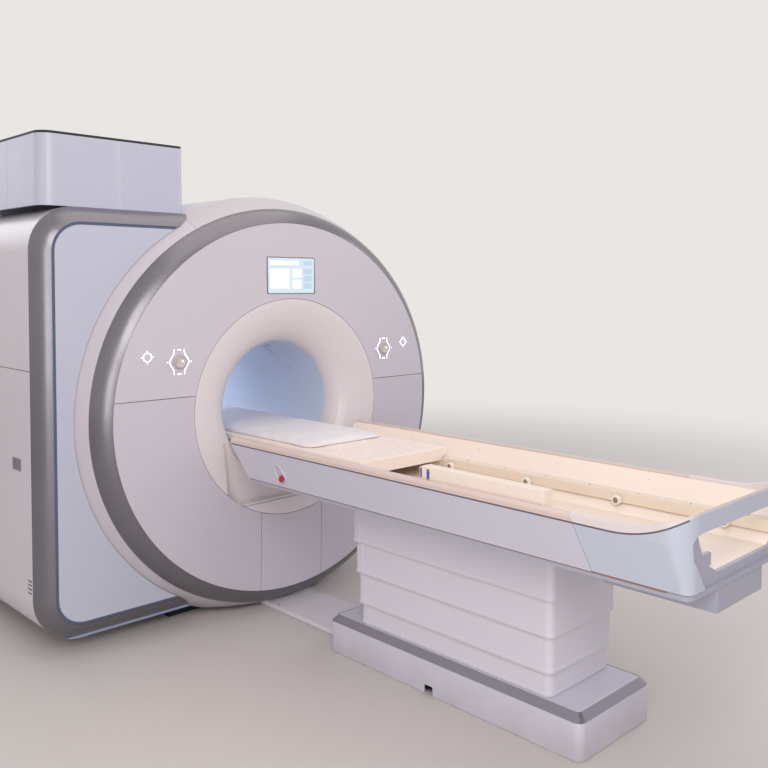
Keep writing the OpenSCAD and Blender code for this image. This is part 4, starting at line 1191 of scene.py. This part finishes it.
# Plates of a coil socket, back to front: half length, half height and thickness.
SOCKET = [(0.0115, 0.0235, 0.0012), (0.0085, 0.0205, 0.0018), (0.0050, 0.0105, 0.0036)]


@dataclass
class TableBody:
    """The long table with its trough, rails, rims, hoop and foot cover."""

    rail_face: float = 0.244  # inner face of the rails
    rail_middle: float = 0.272
    rail_top: float = 0.905
    estop_y: float = -1.36
    estop_z: float = 0.837
    stop_proud: float = 0.039
    line_z: float = 0.957  # where the side covers end and the rim begins
    half_x: float = 0.426  # half the width at that height
    low_z: float = 0.798  # lower edge of the side covers
    draft: float = 0.028
    wall_tall: float = 0.159
    head_y: float = -0.945
    foot_y: float = -3.515
    foot_r: float = 0.084
    tray_x: float = 0.395
    tray_z: float = 0.795
    guard_r: float = 0.028
    guard_tip: float = 0.046  # how much further out its tip lies
    guard_turn: float = 50.0  # degrees from the table's length to the tip
    seam_y: float = 0.371  # lower end of the slanted seam, from the foot end
    seam_lean: float = 0.064
    seam_sunk: float = 0.0016
    climb: float = 0.086  # how far the rim's line rises towards the foot end
    climb_long: float = 0.300
    climb_turn: float = 58.0  # degrees that the line follows the foot's corner
    screw_step: float = 0.2415
    plug_x: float = 0.352
    plug_z: float = 0.9525

    def build(self) -> None:
        """Dresses the table's body and makes its small pieces."""
        dress(Palette.cream, "table_frame", "connector_bar")
        dress(Palette.tan, "roller_rails")
        dress(Palette.cover, "side_covers")
        dress(Palette.foot, "foot_cover")
        dress(Palette.rim, "rim_caps")
        dress(Palette.hoop, "hoop_handle")
        dress(Palette.tray, "under_tray", "under_box")
        ease(0.003, "connector_bar", "under_box")
        ease(0.0025, "table_frame", "roller_rails", segments=2)
        for number in range(1, 5):
            self.rollers(number)
        for side in Side:
            self.stop_button(side)
            self.stop_guard(side)
            self.cover_seam(side)
            self.rim_gasket(side)
            self.tray_gasket(side)
        self.screws()
        self.sockets()

    def wall_x(self, z: np.ndarray | float) -> np.ndarray | float:
        """Half width of the side covers at a height: they lean in by 28 mm over 159 mm."""
        return self.half_x - self.draft * (self.line_z - z) / self.wall_tall

    def stop_guard(self, side: Side) -> None:
        """A drop-shaped guard around the stop button, with its tip up towards the bore.

        Its outline is radius = 28 mm + 46 mm times the fourth power of the cosine of
        the angle from the tip, laid on the sloping wall.

        Args:
            side: Which side of the table.
        """
        angle = np.linspace(0.0, 2 * math.pi, 96, endpoint=False)
        tip = np.clip(np.cos(angle - math.radians(self.guard_turn)), 0.0, 1.0) ** 4
        radius = self.guard_r + self.guard_tip * tip
        along, rise = radius * np.cos(angle), radius * np.sin(angle)
        slope = math.atan2(self.draft, self.wall_tall)
        z = self.estop_z + rise * math.cos(slope)
        path = np.stack([side.value * self.wall_x(z), self.estop_y + along, z], axis=1)
        out = np.array([side.value * math.cos(slope), 0.0, -math.sin(slope)])
        way = unit(np.roll(path, -1, axis=0) - np.roll(path, 1, axis=0))
        ring = swept(path, GUARD, np.cross(way, out), out, closed=True)
        bed = path[None] + np.array([-0.001, 0.0003])[:, None, None] * out
        made = piece(f"stop_guard_{side.word}", [ring, Sheet(bed, cap_rows=True, material=1)])
        settle(made, (Palette.guard, Palette.recess), Body.SCANNER, "table_cover")

    def cover_seam(self, side: Side) -> None:
        """A pale gasket that shows in the slanted seam between side cover and foot cover.

        Args:
            side: Which side of the table.
        """
        z = np.linspace(0.8005, 0.9555, 6)
        y = self.foot_y + self.seam_y + self.seam_lean * (z - self.low_z) / self.wall_tall
        path = np.stack([side.value * (self.wall_x(z) - self.seam_sunk), y, z], axis=1)
        made = piece(f"cover_gasket_{side.word}", [swept(path, COVER_SEAM, Y, side.value * X)])
        settle(made, (Palette.gasket_pale,), Body.SCANNER, "table_cover")

    def rim_gasket(self, side: Side) -> None:
        """The dark line under the rim, which climbs along the foot cover to the hoop.

        Its height is the line plus 86 mm times (1 - d / 300 mm) to the power 2.2,
        where d is the distance from the foot end.

        Args:
            side: Which side of the table.
        """
        r = self.foot_r
        bend = np.linspace(self.foot_y + 0.32, self.foot_y + r, 24)
        straight = np.concatenate([[self.head_y, -1.5, -2.2, -2.9], bend])
        corner = np.linspace(0.0, math.radians(self.climb_turn), 14)
        turn = np.concatenate([0 * straight, corner])
        x = self.half_x - r + r * np.cos(turn)
        y = np.concatenate([straight, np.full(14, self.foot_y + r)]) - r * np.sin(turn)
        share = np.clip(1 - (y - self.foot_y) / self.climb_long, 0.0, 1.0)
        z = self.line_z + self.climb * share**2.2
        out = np.stack([side.value * np.cos(turn), -np.sin(turn), 0 * turn], axis=1)
        path = np.stack([side.value * x, y, z], axis=1)
        made = piece(f"rim_gasket_{side.word}", [swept(path, RIM_LINE, out, UP)])
        settle(made, (Palette.gasket,), Body.SCANNER, "rim")

    def tray_gasket(self, side: Side) -> None:
        """The tan gasket that closes the gap between the covers and the tray below.

        Args:
            side: Which side of the table.
        """
        y = np.array([-1.075, -1.8, -2.6, self.foot_y + self.foot_r])
        path = np.column_stack([0 * y + side.value * self.tray_x, y, 0 * y + self.tray_z])
        made = piece(f"tray_gasket_{side.word}", [swept(path, TRAY_LINE, side.value * X, UP)])
        settle(made, (Palette.gasket_tan,), Body.SCANNER, "table_cover")

    def rollers(self, number: int) -> None:
        """A pair of rollers: a white tyre around a tan bush on a bare pin.

        Args:
            number: Place of the pair, counted from the bore.
        """
        node = f"roller_pair_{number}"
        _, y, z = sum(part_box(node), Vector()) / 2
        sheets = []
        for side in Side:
            at = (side.value * (self.rail_face - 0.002), y, z)
            for slot, profile in enumerate((TYRE, BUSH, AXLE)):
                sheets.append(turned(profile, at, (-side.value, 0, 0), 40, slot))
        made = piece(f"roller_{number}_turned", sheets)
        settle(made, (Palette.roller, Palette.bush, Palette.steel), node, "roller", node)

    def stop_button(self, side: Side) -> None:
        """A red mushroom button on a short dark collar.

        Args:
            side: Which side of the table.
        """
        node = f"estop_{side.word}"
        low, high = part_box(node)
        outer = low.x if side is Side.LEFT else high.x
        _, y, z = (low + high) / 2
        at, way = (outer - side.value * self.stop_proud, y, z), (side.value, 0, 0)
        sheets = [turned(STOP_HEAD, at, way, 40), turned(STOP_STEM, at, way, 32, 1)]
        made = piece(f"stop_button_{side.word}", sheets)
        settle(made, (Palette.red, Palette.bezel), node, "estop", node)

    def screws(self) -> None:
        """Countersunk screws along the top of both rails, and plugs in the far wall."""
        low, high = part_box("roller_rails")
        along = np.arange(low.y + 0.10, high.y - 0.5, self.screw_step)
        places = [(side.value * self.rail_middle, y, self.rail_top) for side in Side for y in along]
        made = piece("rail_screws", screw_heads(places, 0.0045))
        settle(made, (Palette.steel,), Body.SCANNER, "rail_tan")
        places = [(self.plug_x, y, self.plug_z) for y in along[::2]]
        made = piece("wall_plugs", screw_heads(places, 0.003, (-0.62, 0.0, 0.78)))
        settle(made, (Palette.rim,), Body.SCANNER, "trough")

    def sockets(self) -> None:
        """Two coil sockets in the side of the connector bar: dark slots with blue plugs."""
        low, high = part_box("connector_bar")
        sheets = []
        for x, y in ((low.x + 0.009, high.y - 0.012), (low.x + 0.0005, high.y - 0.058)):
            for slot, (half_y, half_z, thick) in enumerate(SOCKET):
                outline = round_outline(half_y, half_z, 0.002, 4)
                at = (x, y, high.z - 0.030)
                sheets.append(domed_plate(outline, at, -Y, thick, 0.0005, slot))
        finishes = Palette.cream, Palette.bezel, Palette.blue
        settle(piece("coil_sockets", sheets), finishes, Body.SCANNER, "connector")


# Grooves and pockets at the tabletop's foot end: place across the table, start and
# stop along it, and half width.
SLOTS = [
    (-0.075, 0.105, 0.405, 0.011), (0.075, 0.105, 0.405, 0.011), (-0.205, 0.20, 0.27, 0.008),
    (0.205, 0.20, 0.27, 0.008), (0.0, 0.06, 0.085, 0.008), (-0.14, 0.10, 0.118, 0.008),
    (0.14, 0.10, 0.118, 0.008),
]


@dataclass
class PatientTop:
    """The sliding tabletop and its mattress."""

    groove_deep: float = 0.0075
    groove_step: float = 0.004
    edge_r: float = 0.004  # round along the tabletop's upper edges
    inset: float = 0.003  # how far its ends are drawn in
    runner_x: float = 0.242  # half width of the narrow part below
    pad_corner: float = 0.060
    pad_roll: float = 0.010  # how far the mattress's edge rolls in
    pad_fall: float = 0.16  # share of the thickness by which its top falls to the edge
    pad_rise: float = 0.84  # share of its half thickness that the edge reaches up

    def build(self) -> None:
        """Makes the tabletop and the mattress."""
        self.tabletop()
        self.mattress()

    def recess(self, x: np.ndarray, y: np.ndarray) -> np.ndarray:
        """Depth of the grooves and pockets at the foot end of the tabletop.

        Each is a slot: the distance to its middle line, less its half width, goes
        through a smooth step 4 mm wide from full depth to none.

        Args:
            x: Places across the table.
            y: Places along the table, from its foot end.

        Returns:
            How far the surface sinks.
        """
        depth = np.zeros(np.broadcast(x, y).shape)
        for middle, near, far, half in SLOTS:
            gap = np.hypot(x - middle, y - np.clip(y, near, far)) - half
            share = np.clip(0.5 - gap / self.groove_step, 0.0, 1.0)
            depth = np.maximum(depth, self.groove_deep * share * share * (3 - 2 * share))
        return depth

    def tabletop(self) -> None:
        """A moulded tabletop: its section runs along Y, and its top carries the recesses."""
        low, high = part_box("tabletop")
        half, top, base, r = high.x, high.z, low.z, self.edge_r
        across = np.linspace(-half + r, half - r, 109)
        turn = np.linspace(0.0, math.pi / 2, 5)[1:]
        edge = np.stack([half - r + r * np.sin(turn), top - r + r * np.cos(turn)], axis=1)
        lean = self.runner_x - 0.002
        under = [(half, top - 0.027), (self.runner_x, base + 0.012), (lean, base + 0.009)]
        side = np.concatenate([edge, under, [(lean, base)]])
        flat = np.stack([across, np.full(len(across), top)], axis=1)
        section = np.concatenate([flat, side, side[::-1] * (-1, 1)])
        end = high.y - low.y
        dense = np.arange(0.0, 0.46, 0.004) + 0.004  # rows through the grooves
        along = np.concatenate([[0.0], dense, np.linspace(0.5, end - 0.004, 12), [end]])
        path = np.column_stack([0 * along, low.y + along, 0 * along])
        sheet = swept(path, section, X, UP)
        drawn = np.where((along < 0.001) | (along > end - 0.001), self.inset, 0.0)[:, None]
        x, z = sheet.points[..., 0], sheet.points[..., 2]
        x -= np.sign(x) * drawn
        z -= drawn * (z > (top + base) / 2)
        z[:, : len(across)] -= self.recess(x[:, : len(across)], along[:, None])
        made = piece("tabletop_moulded", [sheet])
        settle(made, (Palette.tabletop,), Body.TABLE_TOP, "tabletop", "tabletop")

    def mattress(self) -> None:
        """A foam mattress that swells between its welded edges.

        Its top falls by 16 % of the thickness times the tenth power of how far out
        a point lies, so it is nearly flat. Its edge rolls over in half a turn.
        """
        low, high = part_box("mattress")
        middle, half = (low + high) / 2, (high - low) / 2
        outline = round_outline(half.x, half.y, self.pad_corner, 10)
        reach = np.array([half.x, half.y])
        spread = np.concatenate([np.linspace(0.05, 0.9, 10), np.linspace(0.92, 0.985, 6)])
        angle = np.linspace(math.pi / 2, -math.pi / 2, 9)
        margin = 1 - (1 - spread)[:, None] * (half.x / reach)[None, :]
        rolled = 1 - (self.pad_roll * (1 - np.cos(angle)))[:, None] / reach[None, :]
        crown = 2 * half.z * (1 - self.pad_fall * spread**10)
        roll_z = half.z + half.z * self.pad_rise * np.sin(angle)
        shrink = np.concatenate([margin, rolled, rolled[-1:]])
        level = np.concatenate([crown, roll_z, [0.0]])
        grid = np.empty((len(level), len(outline), 3))
        grid[..., :2] = outline[None] * shrink[:, None, :]
        grid[..., 2] = level[:, None]
        grid += np.array([middle.x, middle.y, low.z])
        made = piece("mattress_foam", [Sheet(grid, cap_rows=True)])
        puff(made, low.z, high.z)
        settle(made, (Palette.cloth,), Body.TABLE_TOP, "mattress", "mattress")


# --- Studio -------------------------------------------------------------------

# Name, place, aim, size in metres, power in watts and colour of each lamp.
LAMPS = [
    ("overhead", (0.2, -1.6, 4.6), (0.2, -1.6, 0.0), 3.6, 38.0, "#FFF4EA"),
    ("front_left", (-3.4, -5.4, 4.0), (0.0, -1.0, 1.0), 2.6, 106.0, "#FFF9F6"),
    ("low_left", (-5.0, -5.6, 1.5), (0.0, -1.4, 0.8), 2.2, 66.0, "#FBF7FA"),
    ("right", (4.6, -3.0, 3.4), (0.0, -1.2, 0.9), 2.4, 46.0, "#F4F2FF"),
    ("behind", (-1.5, 4.6, 3.6), (0.0, 0.6, 1.2), 2.6, 48.0, "#F8F6FF"),
]


@dataclass
class Studio:
    """Plain floor, soft lamps, pale world and the photograph's viewpoint."""

    eye: tuple[float, float, float] = (-2.8385, -4.848, 1.7725)
    yaw: float = -0.8204
    pitch: float = -0.0369
    roll: float = 0.0037
    focal_px: float = 876.5
    centre_px: tuple[float, float] = (470.0, 316.0)
    sensor: float = 36.0
    backdrop: str = "#E9E6E4"
    floor_half: float = 14.0
    fade: tuple[float, float] = (2.6, 8.5)  # where the floor turns into the backdrop

    def build(self) -> None:
        """Makes floor, lamps, world and camera."""
        self.floor()
        self.world()
        self.lamps()
        self.camera()
        bpy.context.scene.view_settings.view_transform = "Standard"

    def floor(self) -> None:
        """A wide plain floor, declared as stage."""
        ends = (-self.floor_half, self.floor_half)
        corners = np.array([[(x, y, 0.0) for x in ends] for y in ends])
        made = piece("floor", [Sheet(corners, wrap_columns=False)])
        if made.data.polygons[0].normal.z < 0:
            made.data.flip_normals()
        plain_floor = bpy.data.materials.new("plain_floor")
        tree = bare_tree(plain_floor)
        near = add(tree, "BsdfPrincipled", {"Base Color": linear("#CFC9C4"), "Roughness": 0.6})
        far = add(tree, "Emission", {"Color": linear(self.backdrop)})
        where = add(tree, "TexCoord").outputs["Object"]
        reach = add(tree, "VectorMath", {0: where}, operation="LENGTH").outputs["Value"]
        limits = {"Value": reach, "From Min": self.fade[0], "From Max": self.fade[1]}
        fade = add(tree, "MapRange", limits, interpolation_type="SMOOTHSTEP").outputs[0]
        seen = add(tree, "LightPath").outputs["Is Camera Ray"]
        share = add(tree, "Math", {0: fade, 1: seen}, operation="MULTIPLY").outputs[0]
        both = add(tree, "MixShader", {0: share, 1: near.outputs[0], 2: far.outputs[0]})
        add(tree, "OutputMaterial", {"Surface": both.outputs[0]})
        made.data.materials.append(plain_floor)

    def world(self) -> None:
        """A pale world that lights evenly and shows as the backdrop's own colour."""
        world = bpy.data.worlds.new("studio")
        tree = bare_tree(world)
        rays = add(tree, "LightPath").outputs
        seen = rays["Is Camera Ray"]
        for kind in ("Is Glossy Ray", "Is Transmission Ray"):
            seen = add(tree, "Math", {0: seen, 1: rays[kind]}, operation="MAXIMUM").outputs[0]
        shown = add(tree, "Background", {"Color": linear(self.backdrop), "Strength": 1.0})
        lit = add(tree, "Background", {"Color": linear("#F3F1F6"), "Strength": 0.62})
        both = add(tree, "MixShader", {0: seen, 1: lit.outputs[0], 2: shown.outputs[0]})
        add(tree, "OutputWorld", {"Surface": both.outputs[0]})
        bpy.context.scene.world = world

    def lamps(self) -> None:
        """Soft square lamps: overhead, two from the left, from the right and from behind."""
        for name, place, aim, size, power, colour in LAMPS:
            lamp = bpy.data.lights.new(name, "AREA")
            lamp.shape = "SQUARE"
            lamp.size = size
            lamp.energy = power
            lamp.color = linear(colour)[:3]
            obj = bpy.data.objects.new(name, lamp)
            obj.location = place
            way = Vector(aim) - Vector(place)
            obj.rotation_euler = way.to_track_quat("-Z", "Y").to_euler()
            bpy.context.scene.collection.objects.link(obj)

    def camera(self) -> None:
        """The viewpoint worked out from the photograph's straight lines."""
        flat = Vector((-math.sin(self.yaw), math.cos(self.yaw), 0.0))
        forward = flat * math.cos(self.pitch) + Vector((0.0, 0.0, math.sin(self.pitch)))
        right = Vector((math.cos(self.yaw), math.sin(self.yaw), 0.0))
        up = right.cross(forward)
        tilted = right * math.cos(self.roll) + up * math.sin(self.roll)
        upright = up * math.cos(self.roll) - right * math.sin(self.roll)
        data = bpy.data.cameras.new("photo_view")
        data.sensor_width = self.sensor
        data.lens = self.focal_px * self.sensor / PHOTO_WIDTH
        data.shift_x = (PHOTO_WIDTH / 2 - self.centre_px[0]) / PHOTO_WIDTH
        data.shift_y = (self.centre_px[1] - PHOTO_WIDTH / 2) / PHOTO_WIDTH
        obj = bpy.data.objects.new("photo_view", data)
        axes = Matrix((tilted, upright, -forward)).transposed().to_4x4()
        obj.matrix_world = Matrix.Translation(self.eye) @ axes
        bpy.context.scene.collection.objects.link(obj)
        bpy.context.scene.camera = obj


def main() -> None:
    """Builds every sub-assembly in order and keeps the two sizes."""
    logging.basicConfig(level=logging.INFO, format="%(name)s: %(message)s")
    kinds = (
        Magnet, Housing, BoreMouth, FrontControls, ServiceTower, Pedestal, TableBody,
        PatientTop, Studio,
    )
    for kind in kinds:
        kind().build()
        LOG.info("%s done", kind.__name__)


if __name__ == "__main__":
    main()
